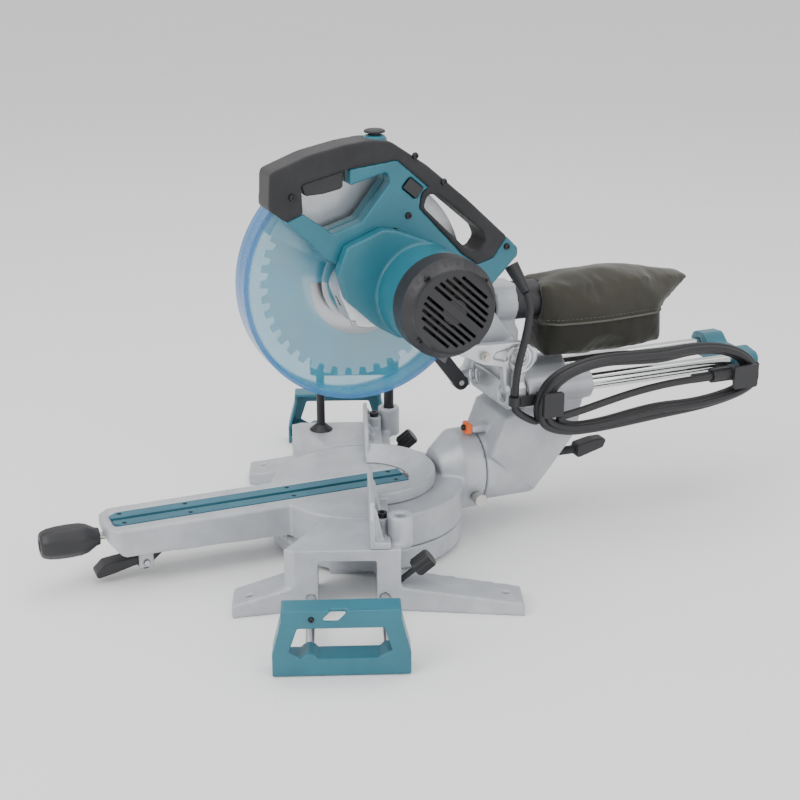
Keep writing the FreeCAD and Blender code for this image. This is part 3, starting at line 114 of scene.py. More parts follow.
class SAW_PG_colours(bpy.types.PropertyGroup):
    teal: colour("Teal", 0.020, 0.150, 0.205)
    board: colour("Kerf board", 0.028, 0.135, 0.19)
    grey: colour("Painted casting", 0.47, 0.49, 0.52)
    bright: colour("Bright casting", 0.62, 0.64, 0.66)
    black: colour("Black plastic", 0.022, 0.022, 0.025)
    rubber: colour("Rubber grip", 0.014, 0.014, 0.016)
    guard: colour("Blade guard", 0.03, 0.42, 0.60)
    guard_rim: colour("Guard rim", 0.02, 0.20, 0.50)
    orange: colour("Orange pointer", 0.86, 0.14, 0.02)
    bag: colour("Dust bag cloth", 0.040, 0.038, 0.026)


# ---------------------------------------------------------------- shader maths

class Value:
    """A socket that can stand in an arithmetic expression."""

    def __init__(self, graph, socket):
        self.graph, self.socket = graph, socket

    def _with(self, operation, first, second):
        return self.graph.node("ShaderNodeMath", {"operation": operation}, {0: first, 1: second})

    def __add__(self, other):
        return self._with("ADD", self, other)

    def __radd__(self, other):
        return self._with("ADD", other, self)

    def __sub__(self, other):
        return self._with("SUBTRACT", self, other)

    def __rsub__(self, other):
        return self._with("SUBTRACT", other, self)

    def __mul__(self, other):
        return self._with("MULTIPLY", self, other)

    def __rmul__(self, other):
        return self._with("MULTIPLY", other, self)

    def __truediv__(self, other):
        return self._with("DIVIDE", self, other)

    def __pow__(self, other):
        return self._with("POWER", self, other)

    def __mod__(self, other):
        return self._with("FLOORED_MODULO", self, other)

    def __gt__(self, other):
        return self._with("GREATER_THAN", self, other)

    def __lt__(self, other):
        return self._with("LESS_THAN", self, other)


class Finish:
    """A material and the few node helpers that its recipe is written with."""

    def __init__(self, name, **constants):
        self.material = bpy.data.materials.new(name)
        self.material.use_nodes = True
        self.tree = self.material.node_tree
        self.shader = self.tree.nodes["Principled BSDF"]
        for socket, value in constants.items():
            self.shader.inputs[socket.replace("_", " ")].default_value = value

    def node(self, kind, settings=None, inputs=None, output=0):
        made = self.tree.nodes.new(kind)
        for name, value in (settings or {}).items():
            setattr(made, name, value)
        for name, value in (inputs or {}).items():
            self.feed(made.inputs[name], value)
        return Value(self, made.outputs[output])

    def feed(self, socket, value):
        if isinstance(value, Value):
            self.tree.links.new(value.socket, socket)
        else:
            socket.default_value = value

    def set(self, name, value):
        self.feed(self.shader.inputs[name], value)

    def point(self, turn=(0, 0, 0), scale=(1, 1, 1), centre=(0, 0, 0)):
        """Object coordinates about a centre, turned and scaled."""
        where = self.node("ShaderNodeTexCoord", output="Object")
        moved = self.node("ShaderNodeVectorMath", {"operation": "SUBTRACT"}, {0: where, 1: centre})
        return self.node("ShaderNodeMapping", {"vector_type": "TEXTURE"},
                         {"Vector": moved, "Rotation": turn, "Scale": scale})

    def noise(self, scale, detail=2.0, rough=0.5, point=None):
        return self.node("ShaderNodeTexNoise", None, {
            "Vector": point or self.point(), "Scale": scale, "Detail": detail, "Roughness": rough})

    def band(self, value, low, high):
        """0 below low, 1 above high, smooth between."""
        return self.node("ShaderNodeMapRange", {"interpolation_type": "SMOOTHSTEP"}, {
            "Value": value, "From Min": low, "From Max": high})

    def mix(self, factor, first, second):
        """One colour fading into another."""
        made = self.tree.nodes.new("ShaderNodeMix")
        made.data_type = "RGBA"
        self.feed(made.inputs[0], factor)
        self.feed(made.inputs[6], rgba(first))
        self.feed(made.inputs[7], rgba(second))
        return Value(self, made.outputs[2])

    def bump(self, height, distance, strength=1.0, under=None):
        inputs = {"Height": height, "Distance": distance, "Strength": strength}
        if under:
            inputs["Normal"] = under
        return self.node("ShaderNodeBump", None, inputs)

    def rounded(self, radius):
        """The surface's normal with its edges rounded."""
        return self.node("ShaderNodeBevel", {"samples": 4}, {"Radius": radius})

    def worn(self, radius, amount=1.0):
        """A mask of the edges that handling has rubbed."""
        soft = self.rounded(radius)
        plain = self.node("ShaderNodeNewGeometry", output="Normal")
        same = self.node("ShaderNodeVectorMath", {"operation": "DOT_PRODUCT"}, {0: soft, 1: plain}, "Value")
        edge = self.band(1 - same, 0.02, 0.16)
        return edge * self.band(self.noise(90, 4, 0.7), 0.42, 0.62) * amount

    def split(self, vector):
        parts = self.tree.nodes.new("ShaderNodeSeparateXYZ")
        self.feed(parts.inputs[0], vector)
        return [Value(self, parts.outputs[i]) for i in range(3)]


def rgba(value):
    if isinstance(value, Value):
        return value
    return (*value[:3], 1.0)


def shade(value, factor):
    """A colour made lighter or darker."""
    return tuple(min(1.0, channel * factor) for channel in value[:3])


FINISHES = {}


def painted_casting(name, base, metallic=0.0, rough=0.42, sparkle=0.10):
    """Die casting under satin paint: cast skin, faint mottling and edges rubbed bright."""
    f = Finish(name, Metallic=metallic, Specular_IOR_Level=0.5)
    mottle = f.band(f.noise(24, 5, 0.6), 0.3, 0.7)
    body = f.mix(mottle, shade(base, 1 - sparkle), shade(base, 1 + sparkle))
    f.set("Base Color", f.mix(f.worn(0.9 * MM, 0.55), body, (0.72, 0.73, 0.74)))
    f.set("Roughness", rough + f.noise(160, 3) * 0.16 - 0.08)
    cast = f.noise(1400, 2, 0.6) * 0.6 + f.noise(420, 2) * 0.4
    f.set("Normal", f.bump(cast, 0.10 * MM, 0.35, f.rounded(1.1 * MM)))
    return f.material


def moulded_plastic(name, base, rough=0.45, grain=0.5, gloss=0.0):
    """Moulded plastic with a spark-eroded texture and slightly paler rubbed edges."""
    f = Finish(name, Coat_Weight=gloss, Coat_Roughness=0.25)
    cloud = f.band(f.noise(14, 4, 0.6), 0.3, 0.7)
    body = f.mix(cloud, shade(base, 0.90), shade(base, 1.10))
    f.set("Base Color", f.mix(f.worn(0.7 * MM, 0.30), body, shade(base, 1.9)))
    f.set("Roughness", rough + f.noise(90, 3) * 0.14 - 0.07)
    f.set("Normal", f.bump(f.noise(2200, 2, 0.7), 0.06 * MM, grain, f.rounded(0.9 * MM)))
    return f.material


def soft_grip(name, base):
    """Rubbery overmould with a fine pebble and a soft sheen."""
    f = Finish(name, Sheen_Weight=0.12, Sheen_Roughness=0.5)
    pebble = f.node("ShaderNodeTexVoronoi", {"feature": "SMOOTH_F1"}, {
        "Vector": f.point(), "Scale": 900.0, "Smoothness": 0.6}, "Distance")
    f.set("Base Color", f.mix(f.band(f.noise(18, 4), 0.3, 0.7), base, shade(base, 1.7)))
    f.set("Roughness", 0.62 + f.noise(120, 2) * 0.16)
    f.set("Normal", f.bump(pebble, 0.14 * MM, 0.5, f.rounded(0.9 * MM)))
    return f.material


def drawn_metal(name, base, rough=0.22, along=(0, 0, 0), stretch=(1, 1, 1), streak=0.12):
    """Bare or plated metal with drawing marks along one direction."""
    f = Finish(name, Metallic=1.0)
    marks = f.noise(500, 3, 0.6, f.point(along, stretch))
    f.set("Base Color", f.mix(f.band(f.noise(12, 3), 0.3, 0.75), shade(base, 0.86), base))
    f.set("Roughness", rough + marks * streak)
    f.set("Normal", f.bump(marks, 0.02 * MM, 0.35, f.rounded(0.5 * MM)))
    return f.material


def ground_blade(name):
    """Saw plate ground in fine rings."""
    f = Finish(name, Metallic=1.0)
    ring = f.node("ShaderNodeVectorMath", {"operation": "LENGTH"},
                  {0: f.point(centre=tuple(ARM @ BLADE))}, "Value")
    marks = f.node("ShaderNodeTexNoise", {"noise_dimensions": "1D"}, {"W": ring, "Scale": 2600.0, "Detail": 3.0})
    f.set("Base Color", f.mix(f.band(marks, 0.3, 0.7), (0.42, 0.43, 0.45), (0.66, 0.67, 0.69)))
    f.set("Roughness", 0.24 + marks * 0.20)
    f.set("Normal", f.bump(marks, 0.02 * MM, 0.4))
    return f.material


def clear_guard(name, base, rim):
    """Tinted see-through plastic, deeper in colour at the rim and misted by dust."""
    f = Finish(name, IOR=1.49, Coat_Weight=0.4, Coat_Roughness=0.12)
    ring = f.node("ShaderNodeVectorMath", {"operation": "LENGTH"},
                  {0: f.point(centre=tuple(ARM @ BLADE))}, "Value")
    low, high = arm_box("lower_guard")
    outer = high.z - BLADE.z if high.z - BLADE.z > 0.1 else BLADE.z - low.z
    edge = f.band(ring, outer - 7 * MM, outer - 3 * MM)
    dust = f.band(f.noise(30, 5, 0.7), 0.35, 0.75)
    f.set("Base Color", f.mix(edge, f.mix(dust, base, shade(base, 1.25)), rim))
    f.set("Alpha", 0.24 + edge * 0.50 + dust * 0.04)
    f.set("Roughness", 0.16 + dust * 0.18)
    f.set("Normal", f.bump(f.noise(60, 3), 0.15 * MM, 0.25, f.rounded(0.6 * MM)))
    return f.material


def woven_cloth(name, base, pitch=0.9 * MM):
    """Coarse nylon cloth woven over and under, laid along the arm, its colour darkened where the threads dip:
    painted shade between the threads.
    """
    f = Finish(name, Sheen_Weight=0.35, Sheen_Roughness=0.45)
    across, along, up = f.split(f.point((0, 0, math.atan2(REAR.y, REAR.x))))
    step = 2 * math.pi / (2 * pitch)
    warp = f.node("ShaderNodeMath", {"operation": "SINE"}, {0: (across + up * 0.37) * step})
    weft = f.node("ShaderNodeMath", {"operation": "SINE"}, {0: (up - along * 0.23) * step})
    weave_height_and_shade = warp * weft * 0.5 + 0.5
    fade = f.band(f.noise(9, 4, 0.6), 0.3, 0.7)
    body = f.mix(fade, shade(base, 0.8), shade(base, 1.45))
    # Painted shade: the colour falls to 0.55 of the cloth where the threads dip, in step with the bump height.
    f.set("Base Color", f.mix(weave_height_and_shade, shade(base, 0.55), body))
    f.set("Roughness", 0.82 + weave_height_and_shade * 0.1)
    f.set("Normal", f.bump(weave_height_and_shade, 0.25 * MM, 0.6, f.bump(f.noise(60, 4, 0.6), 1.2 * MM, 0.5)))
    return f.material


def cord_sheath(name, base):
    """Smooth rubber sheath with scuffs."""
    f = Finish(name)
    scuff = f.band(f.noise(300, 4, 0.7), 0.55, 0.75)
    f.set("Base Color", f.mix(scuff, base, shade(base, 2.2)))
    f.set("Roughness", 0.42 + scuff * 0.25)
    f.set("Normal", f.bump(f.noise(900, 2), 0.04 * MM, 0.4))
    return f.material


def wound_copper(name):
    """Enamelled winding wire in tight rows, with painted shade in the grooves between wires and painted highlight
    on their crowns.
    """
    f = Finish(name, Metallic=0.8)
    across = f.split(f.point((0, 0, math.atan2(ACROSS.y, ACROSS.x))))[0]
    rows = f.node("ShaderNodeMath", {"operation": "SINE"}, {0: across * (2 * math.pi / (0.8 * MM))})
    # Painted shade and highlight: dark in the grooves between the wires, bright on their crowns, following the
    # same rows as the bump.
    f.set("Base Color", f.mix(rows * 0.5 + 0.5, (0.20, 0.07, 0.03), (0.62, 0.27, 0.12)))
    f.set("Roughness", 0.35 + f.noise(200) * 0.2)
    f.set("Normal", f.bump(rows, 0.2 * MM, 0.6))
    return f.material


def degree_scale(name, centre, every, length):
    """Bare steel band with a tick at each degree and a longer one at every fifth."""
    f = Finish(name, Metallic=0.6)
    x, y, z = f.split(f.point(centre=centre))
    angle = f.node("ShaderNodeMath", {"operation": "ARCTAN2"}, {0: x, 1: y}) * (180 / math.pi)
    minor = ((angle + 0.14) % every) < 0.28
    major = ((angle + 0.2) % (5 * every)) < 0.4
    short = minor * (z > length[0])
    long = major * (z > length[1])
    mark = f.node("ShaderNodeMath", {"operation": "MAXIMUM"}, {0: short, 1: long})
    f.set("Base Color", f.mix(mark, (0.62, 0.63, 0.65), (0.02, 0.02, 0.02)))
    f.set("Roughness", 0.35 + f.noise(120, 3) * 0.15)
    return f.material


def make_finishes(colours):
    rear_turn = (0, 0, math.atan2(REAR.y, REAR.x))
    long_rod = (20, 1, 1)
    recipes = {
        "grey_casting": lambda n: painted_casting(n, colours.grey, metallic=0.25),
        "bright_casting": lambda n: painted_casting(n, colours.bright, metallic=0.75, rough=0.34),
        "black_plastic": lambda n: moulded_plastic(n, colours.black, 0.46, 0.6),
        "overmould": lambda n: soft_grip(n, colours.rubber),
        "teal_plastic": lambda n: moulded_plastic(n, colours.teal, 0.36, 0.25, 0.15),
        "board_plastic": lambda n: moulded_plastic(n, colours.board, 0.5, 0.4),
        "guard_plastic": lambda n: clear_guard(n, colours.guard, colours.guard_rim),
        "steel": lambda n: drawn_metal(n, (0.56, 0.57, 0.58), 0.30),
        "chrome_steel": lambda n: drawn_metal(n, (0.78, 0.79, 0.80), 0.08, rear_turn, long_rod, 0.08),
        "zinc": lambda n: drawn_metal(n, (0.62, 0.61, 0.57), 0.34),
        "black_steel": lambda n: drawn_metal(n, (0.06, 0.06, 0.065), 0.36),
        "orange_plastic": lambda n: moulded_plastic(n, colours.orange, 0.4, 0.3),
        "grey_plastic": lambda n: moulded_plastic(n, (0.12, 0.125, 0.13), 0.45, 0.5),
        "copper": wound_copper,
        "bag_fabric": lambda n: woven_cloth(n, colours.bag),
        "cord_rubber": lambda n: cord_sheath(n, (0.018, 0.018, 0.020)),
    }
    for name, recipe in recipes.items():
        FINISHES[name] = recipe(name)
    FINISHES["blade"] = ground_blade("ground_blade")
    FINISHES["lower_cloth"] = woven_cloth("lower_cloth", shade(colours.bag, 0.55))
    FINISHES["thread"] = moulded_plastic("thread", (0.10, 0.10, 0.085), 0.7, 0.2)


# ---------------------------------------------------------------- mesh helpers

def add(name, mesh, finish=None):
    piece = bpy.data.objects.new(name, mesh)
    bpy.context.scene.collection.objects.link(piece)
    if finish:
        mesh.materials.clear()
        mesh.materials.append(FINISHES[finish])
    return piece


def bake(piece):
    """Turns the evaluated piece into a plain mesh with no modifiers."""
    graph = bpy.context.evaluated_depsgraph_get()
    mesh = bpy.data.meshes.new_from_object(piece.evaluated_get(graph), depsgraph=graph)
    name, finish = piece.name, list(piece.data.materials)
    bpy.data.objects.remove(piece)
    made = bpy.data.objects.new(name, mesh)
    bpy.context.scene.collection.objects.link(made)
    if not mesh.materials and finish:
        mesh.materials.append(finish[0])
    return made


def settle(piece, body, slot, *replaced):
    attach(piece, body)
    if replaced:
        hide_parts(*replaced)
    return piece


def clean_copy(name, node, flat=True):
    """A CAD node's mesh with its loose triangles joined up and its flat faces made whole."""
    mesh = NODES[node].data.copy()
    mesh.normals_split_custom_set([(0, 0, 0)] * len(mesh.loops))
    bm = bmesh.new()
    bm.from_mesh(mesh)
    bmesh.ops.remove_doubles(bm, verts=bm.verts, dist=0.002 * MM)
    if flat:
        bmesh.ops.dissolve_limit(bm, angle_limit=math.radians(0.6), verts=bm.verts, edges=bm.edges)
    bm.to_mesh(mesh)
    bm.free()
    return add(name, mesh)


def rounded_copy(name, node, finish, grain, passes, keep=0.6):
    """A CAD node with cast or moulded corners: refined to an even mesh, then smoothed."""
    piece = clean_copy(name, node, flat=False)
    piece.data.materials.clear()
    piece.data.materials.append(FINISHES[finish])
    remesh = piece.modifiers.new("even", "REMESH")
    remesh.mode, remesh.voxel_size, remesh.use_smooth_shade = "VOXEL", grain, True
    smooth = piece.modifiers.new("soften", "SMOOTH")
    smooth.factor, smooth.iterations = 0.5, passes
    thin = piece.modifiers.new("thin", "DECIMATE")
    thin.ratio = keep
    piece = bake(piece)
    piece.data.shade_smooth()
    return piece


def tube(name, points, radius, sides=12):
    """A closed tube along a line of points."""
    bm = bmesh.new()
    rings, side = [], None
    for index, point in enumerate(points):
        ahead = points[min(index + 1, len(points) - 1)] - points[max(index - 1, 0)]
        ahead.normalize()
        side = (side or ahead.orthogonal())
        side = (side - ahead * side.dot(ahead)).normalized()
        other = ahead.cross(side)
        turns = [2 * math.pi * k / sides for k in range(sides)]
        rings.append([bm.verts.new(point + (side * math.cos(a) + other * math.sin(a)) * radius)
                      for a in turns])
    for first, second in zip(rings, rings[1:]):
        for k in range(sides):
            bm.faces.new((first[k], first[(k + 1) % sides], second[(k + 1) % sides], second[k]))
    bm.faces.new(list(reversed(rings[0])))
    bm.faces.new(rings[-1])
    bmesh.ops.recalc_face_normals(bm, faces=bm.faces)
    mesh = bpy.data.meshes.new(name)
    bm.to_mesh(mesh)
    bm.free()
    mesh.shade_smooth()
    return mesh


def turned(name, outline, origin, axis, sides=48):
    """A solid of revolution: (along, radius) pairs about an axis through origin, in metres."""
    axis = Vector(axis).normalized()
    side = axis.orthogonal().normalized()
    other = axis.cross(side)
    bm = bmesh.new()
    rings = []
    for along, radius in outline:
        centre = Vector(origin) + axis * along
        if radius < 1e-7:
            rings.append([bm.verts.new(centre)])
            continue
        turns = [2 * math.pi * k / sides for k in range(sides)]
        rings.append([bm.verts.new(centre + (side * math.cos(a) + other * math.sin(a)) * radius)
                      for a in turns])
    for first, second in zip(rings, rings[1:]):
        for k in range(sides):
            corners = [first[k % len(first)], first[(k + 1) % len(first)],
                       second[(k + 1) % len(second)], second[k % len(second)]]
            corners = list(dict.fromkeys(corners))
            if len(corners) > 2:
                bm.faces.new(corners)
    if len(rings[0]) > 1:
        bm.faces.new(list(reversed(rings[0])))
    if len(rings[-1]) > 1:
        bm.faces.new(rings[-1])
    bmesh.ops.recalc_face_normals(bm, faces=bm.faces)
    mesh = bpy.data.meshes.new(name)
    bm.to_mesh(mesh)
    bm.free()
    mesh.shade_smooth()
    mesh.set_sharp_from_angle(angle=math.radians(35))
    return mesh


# ---------------------------------------------------------------- geometry nodes

class Tree:
    """A geometry node tree with named inputs."""

    def __init__(self, name, sizes):
        self.tree = bpy.data.node_groups.new(name, "GeometryNodeTree")
        face = self.tree.interface
        face.new_socket("Geometry", in_out="INPUT", socket_type="NodeSocketGeometry")
        for label, kind in sizes.items():
            face.new_socket(label, in_out="INPUT", socket_type=kind)
        face.new_socket("Geometry", in_out="OUTPUT", socket_type="NodeSocketGeometry")
        self.start = self.tree.nodes.new("NodeGroupInput")
        self.end = self.tree.nodes.new("NodeGroupOutput")

    def node(self, kind, settings=None, inputs=None):
        made = self.tree.nodes.new(kind)
        for name, value in (settings or {}).items():
            setattr(made, name, value)
        for name, value in (inputs or {}).items():
            if isinstance(value, bpy.types.NodeSocket):
                self.tree.links.new(value, made.inputs[name])
            else:
                made.inputs[name].default_value = value
        return made

    def finish(self, geometry, material):
        real = self.node("GeometryNodeRealizeInstances", None, {"Geometry": geometry})
        dressed = self.node("GeometryNodeSetMaterial", None, {
            "Geometry": real.outputs[0], "Material": material})
        self.tree.links.new(dressed.outputs[0], self.end.inputs[0])
        return self.tree

    def apply(self, piece, values):
        change = piece.modifiers.new(self.tree.name, "NODES")
        change.node_group = self.tree
        for item in self.tree.interface.items_tree:
            if item.in_out == "INPUT" and item.name in values:
                change[item.identifier] = values[item.name]
        return bake(piece)


def screws(name, points, axis, head, finish="zinc"):
    """Round screw heads with a six-sided recess, one on each point, facing along axis."""
    tree = Tree(name + "_nodes", {"Head": "NodeSocketFloat", "Axis": "NodeSocketVector"})
    size = tree.start.outputs["Head"]
    half = tree.node("ShaderNodeMath", {"operation": "MULTIPLY"}, {0: size, 1: 0.5}).outputs[0]
    depth = tree.node("ShaderNodeMath", {"operation": "MULTIPLY"}, {0: size, 1: 0.34}).outputs[0]
    bore = tree.node("ShaderNodeMath", {"operation": "MULTIPLY"}, {0: size, 1: 0.24}).outputs[0]
    dome = tree.node("GeometryNodeMeshCone", None, {
        "Vertices": 20, "Radius Top": tree.node("ShaderNodeMath", {"operation": "MULTIPLY"},
                                                {0: half, 1: 0.78}).outputs[0],
        "Radius Bottom": half, "Depth": depth})
    hexagon = tree.node("GeometryNodeMeshCylinder", None, {"Vertices": 6, "Radius": bore, "Depth": size})
    raised = tree.node("ShaderNodeCombineXYZ", None, {"Z": depth})
    lifted = tree.node("GeometryNodeTransform", None, {
        "Geometry": hexagon.outputs["Mesh"], "Translation": tree.node(
            "ShaderNodeVectorMath", {"operation": "MULTIPLY"}, {
                0: raised.outputs[0], 1: (0, 0, 1.9)}).outputs[0]})
    drilled = tree.node("GeometryNodeMeshBoolean", {"operation": "DIFFERENCE"}, {
        "Mesh 1": dome.outputs["Mesh"], "Mesh 2": lifted.outputs[0]})
    turn = tree.node("FunctionNodeAlignEulerToVector", {"axis": "Z"}, {
        "Vector": tree.start.outputs["Axis"]})
    placed = tree.node("GeometryNodeInstanceOnPoints", None, {
        "Points": tree.start.outputs["Geometry"], "Instance": drilled.outputs[0],
        "Rotation": turn.outputs[0]})
    tree.finish(placed.outputs[0], FINISHES[finish])
    mesh = bpy.data.meshes.new(name)
    mesh.from_pydata([tuple(p) for p in points], [], [])
    return tree.apply(add(name, mesh), {"Head": head, "Axis": tuple(axis)})


def stitches(name, lines, length, thickness, finish="thread"):
    """Thread stitches, evenly spaced along each line."""
    tree = Tree(name + "_nodes", {"Length": "NodeSocketFloat", "Thickness": "NodeSocketFloat"})
    step = tree.node("ShaderNodeMath", {"operation": "MULTIPLY"}, {
        0: tree.start.outputs["Length"], 1: 1.7}).outputs[0]
    line = tree.node("GeometryNodeMeshToCurve", None, {"Mesh": tree.start.outputs["Geometry"]})
    spaced = tree.node("GeometryNodeCurveToPoints", {"mode": "LENGTH"}, {
        "Curve": line.outputs[0], "Length": step})
    bar = tree.node("GeometryNodeMeshCylinder", None, {
        "Vertices": 6, "Radius": tree.start.outputs["Thickness"], "Depth": tree.start.outputs["Length"]})
    turn = tree.node("FunctionNodeAlignEulerToVector", {"axis": "Z"}, {"Vector": spaced.outputs["Tangent"]})
    placed = tree.node("GeometryNodeInstanceOnPoints", None, {
        "Points": spaced.outputs["Points"], "Instance": bar.outputs["Mesh"], "Rotation": turn.outputs[0]})
    tree.finish(placed.outputs[0], FINISHES[finish])
    mesh = bpy.data.meshes.new(name)
    points, edges = [], []
    for line_points in lines:
        first = len(points)
        points += [tuple(p) for p in line_points]
        edges += [(first + k, first + k + 1) for k in range(len(line_points) - 1)]
    mesh.from_pydata(points, edges, [])
    return tree.apply(add(name, mesh), {"Length": length, "Thickness": thickness})


def ribs(name, centre, axis, radius, count, length, width, finish):
    """Grip ribs round a knob."""
    tree = Tree(name + "_nodes", {"Length": "NodeSocketFloat", "Width": "NodeSocketFloat"})
    bar = tree.node("GeometryNodeMeshCylinder", None, {
        "Vertices": 8, "Radius": tree.start.outputs["Width"], "Depth": tree.start.outputs["Length"]})
    turn = tree.node("FunctionNodeAlignEulerToVector", {"axis": "Z"}, {"Vector": tuple(axis)})
    placed = tree.node("GeometryNodeInstanceOnPoints", None, {
        "Points": tree.start.outputs["Geometry"], "Instance": bar.outputs["Mesh"],
        "Rotation": turn.outputs[0]})
    tree.finish(placed.outputs[0], FINISHES[finish])
    axis = Vector(axis).normalized()
    side = axis.orthogonal().normalized()
    other = axis.cross(side)
    turns = [2 * math.pi * k / count for k in range(count)]
    mesh = bpy.data.meshes.new(name)
    mesh.from_pydata([tuple(Vector(centre) + (side * math.cos(a) + other * math.sin(a)) * radius)
                      for a in turns], [], [])
    return tree.apply(add(name, mesh), {"Length": length, "Width": width})


# ---------------------------------------------------------------- operators

CAMERA_PLACE = (1.55519, -0.03114, 0.71838)
CAMERA_PITCH, CAMERA_YAW = -19.69, 2.5
CAMERA_LENS, CAMERA_SENSOR = 67.95, 36
BAG_SEAM_HEIGHT = 232 * MM


class SAW_OT_stage(bpy.types.Operator):
    """Camera, pale floor and soft studio light"""
    bl_idname = "saw.stage"
    bl_label = "Stage"

    def execute(self, context):
        camera = bpy.data.objects.new("camera", bpy.data.cameras.new("camera"))
        context.scene.collection.objects.link(camera)
        pitch, yaw = math.radians(CAMERA_PITCH), math.radians(CAMERA_YAW)
        ahead = Vector((-math.cos(pitch) * math.cos(yaw), math.cos(pitch) * math.sin(yaw), math.sin(pitch)))
        camera.location = CAMERA_PLACE
        camera.rotation_euler = ahead.to_track_quat("-Z", "Y").to_euler()
        camera.data.lens, camera.data.sensor_width = CAMERA_LENS, CAMERA_SENSOR
        camera.data.clip_start = 0.05
        context.scene.camera = camera
        floor = add("floor", bpy.data.meshes.new("floor"))
        reach = 14
        corners = [(-reach, -reach, 0), (reach, -reach, 0), (reach, reach, 0), (-reach, reach, 0)]
        floor.data.from_pydata(corners, [], [(0, 1, 2, 3)])
        pale = Finish("pale_floor", Roughness=0.75)
        pale.set("Base Color", pale.mix(pale.noise(3, 3), (0.92, 0.92, 0.92), (0.95, 0.95, 0.95)))
        floor.data.materials.append(pale.material)
        world = bpy.data.worlds.new("studio")
        world.use_nodes = True
        world.node_tree.nodes["Background"].inputs[0].default_value = (1, 1, 1, 1)
        world.node_tree.nodes["Background"].inputs[1].default_value = 0.95
        context.scene.world = world
        lamps = (("key", (1.3, -1.6, 1.9), 1.5, 30), ("fill", (1.8, 1.5, 1.3), 1.6, 12),
                 ("top", (-0.3, 0.2, 2.3), 2.2, 24))
        for name, place, size, power in lamps:
            lamp = bpy.data.objects.new(name, bpy.data.lights.new(name, "AREA"))
            lamp.data.energy, lamp.data.size = power, size
            lamp.location = place
            aim = Vector((0, 0.05, 0.25)) - Vector(place)
            lamp.rotation_euler = aim.to_track_quat("-Z", "Y").to_euler()
            context.scene.collection.objects.link(lamp)
        return {"FINISHED"}


# The lead's route from the strain relief to its clip, as in the frame's own model.
LEAD = [(62.0, 160.0, 283.0), (67.0, 163.5, 270.0), (68.0, 161.0, 250.0), (68.0, 156.0, 226.0),
        (68.0, 150.0, 203.0), (68.0, 147.2, 182.0), (68.0, 147.0, 168.0)]


def smooth_line(points, resolution=8):
    """A NURBS curve with the points as its control points, and the line it follows."""
    data = bpy.data.curves.new("line", "CURVE")
    data.dimensions = "3D"
    spline = data.splines.new("NURBS")
    spline.points.add(len(points) - 1)
    for made, point in zip(spline.points, points):
        made.co = (*point, 1)
    spline.order_u = 3
    spline.use_endpoint_u = True
    spline.resolution_u = resolution
    data.resolution_u = resolution
    holder = bpy.data.objects.new("line", data)
    bpy.context.scene.collection.objects.link(holder)
    return holder


def line_points(holder):
    graph = bpy.context.evaluated_depsgraph_get()
    mesh = bpy.data.meshes.new_from_object(holder.evaluated_get(graph), depsgraph=graph)
    return [v.co.copy() for v in mesh.vertices]


class SAW_OT_cord(bpy.types.Operator):
    """The mains lead: its run down to the clip and its turns over the two hooks"""
    bl_idname = "saw.cord"
    bl_label = "Cord"

    def execute(self, context):
        sizes = context.scene.saw_sizes
        radius = sizes.cord_diameter / 2
        guide = smooth_line([at(*point) for point in LEAD])
        path = line_points(guide)
        bpy.data.objects.remove(guide)
        lead = add("mains_lead", tube("mains_lead", path, radius, 14), "cord_rubber")
        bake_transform(lead)
        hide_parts("cord_lead")
        self.winding(sizes)
        return {"FINISHED"}

    def winding(self, sizes):
        low = arm_box("cord_winding")[0]
        gap = sizes.cord_diameter * 1.06
        radius = sizes.cord_diameter / 2
        clip = Vector(LEAD[-1]) * MM
        points = [clip, clip + Vector((0, -0.4, -9)) * MM, clip + Vector((2, 1, -18)) * MM]
        outer = [(172, 132), (167.5, 150), (171, 168), (182, 185), (206, 197), (240, 204.5),
                 (285, 205), (330, 204.5), (375, 204), (412, 198), (441, 185), (456, 168),
                 (459, 150), (446, 139), (416, 131),
                 (380, 125.5), (335, 121.5), (290, 119), (245, 118.4), (203, 120)]
        centre = Vector((315, 162))
        random.seed(7)
        across_first = low.x + radius + 0.8 * MM
        for turn in range(sizes.cord_turns):
            layer, column = divmod(turn, 2)
            inset = radius / MM + 0.6 + layer * gap / MM
            side = column if layer == 0 else 1 - column
            for index, (rear, up) in enumerate(outer):
                share = index / len(outer)
                away = (Vector((rear, up)) - centre).normalized()
                away.x *= 0.9
                wobble = random.uniform(-0.25, 0.25)
                if layer and index > len(outer) * 0.45:
                    wobble += 0.7
                drift = share if column == 0 and layer == 0 else 0
                rise = share * (gap / MM) if column == 1 and layer == 0 else 0
                slide = -share if layer == 1 and column == 0 else 0
                across = across_first + (side + drift + slide) * gap
                point = Vector((rear, up)) - away * (inset + rise + wobble)
                points.append(Vector((across, point.x * MM, point.y * MM)))
        tail_across = across_first + gap * 0.95
        tail = [(190, 141), (222, 145), (256, 152), (290, 158), (322, 161.5), (346, 162.8), (368, 163)]
        points += [Vector((tail_across, rear * MM, up * MM)) for rear, up in tail]
        winding = smooth_line([ARM @ point for point in points], 6)
        winding.name = winding.data.name = "cord_turns"
        path = line_points(winding)
        winding.data.bevel_depth = radius
        winding.data.bevel_resolution = 3
        winding.data.use_fill_caps = True
        winding.data.materials.append(FINISHES["cord_rubber"])
        settle(winding, "carriage", "cord_rubber", "cord_winding")


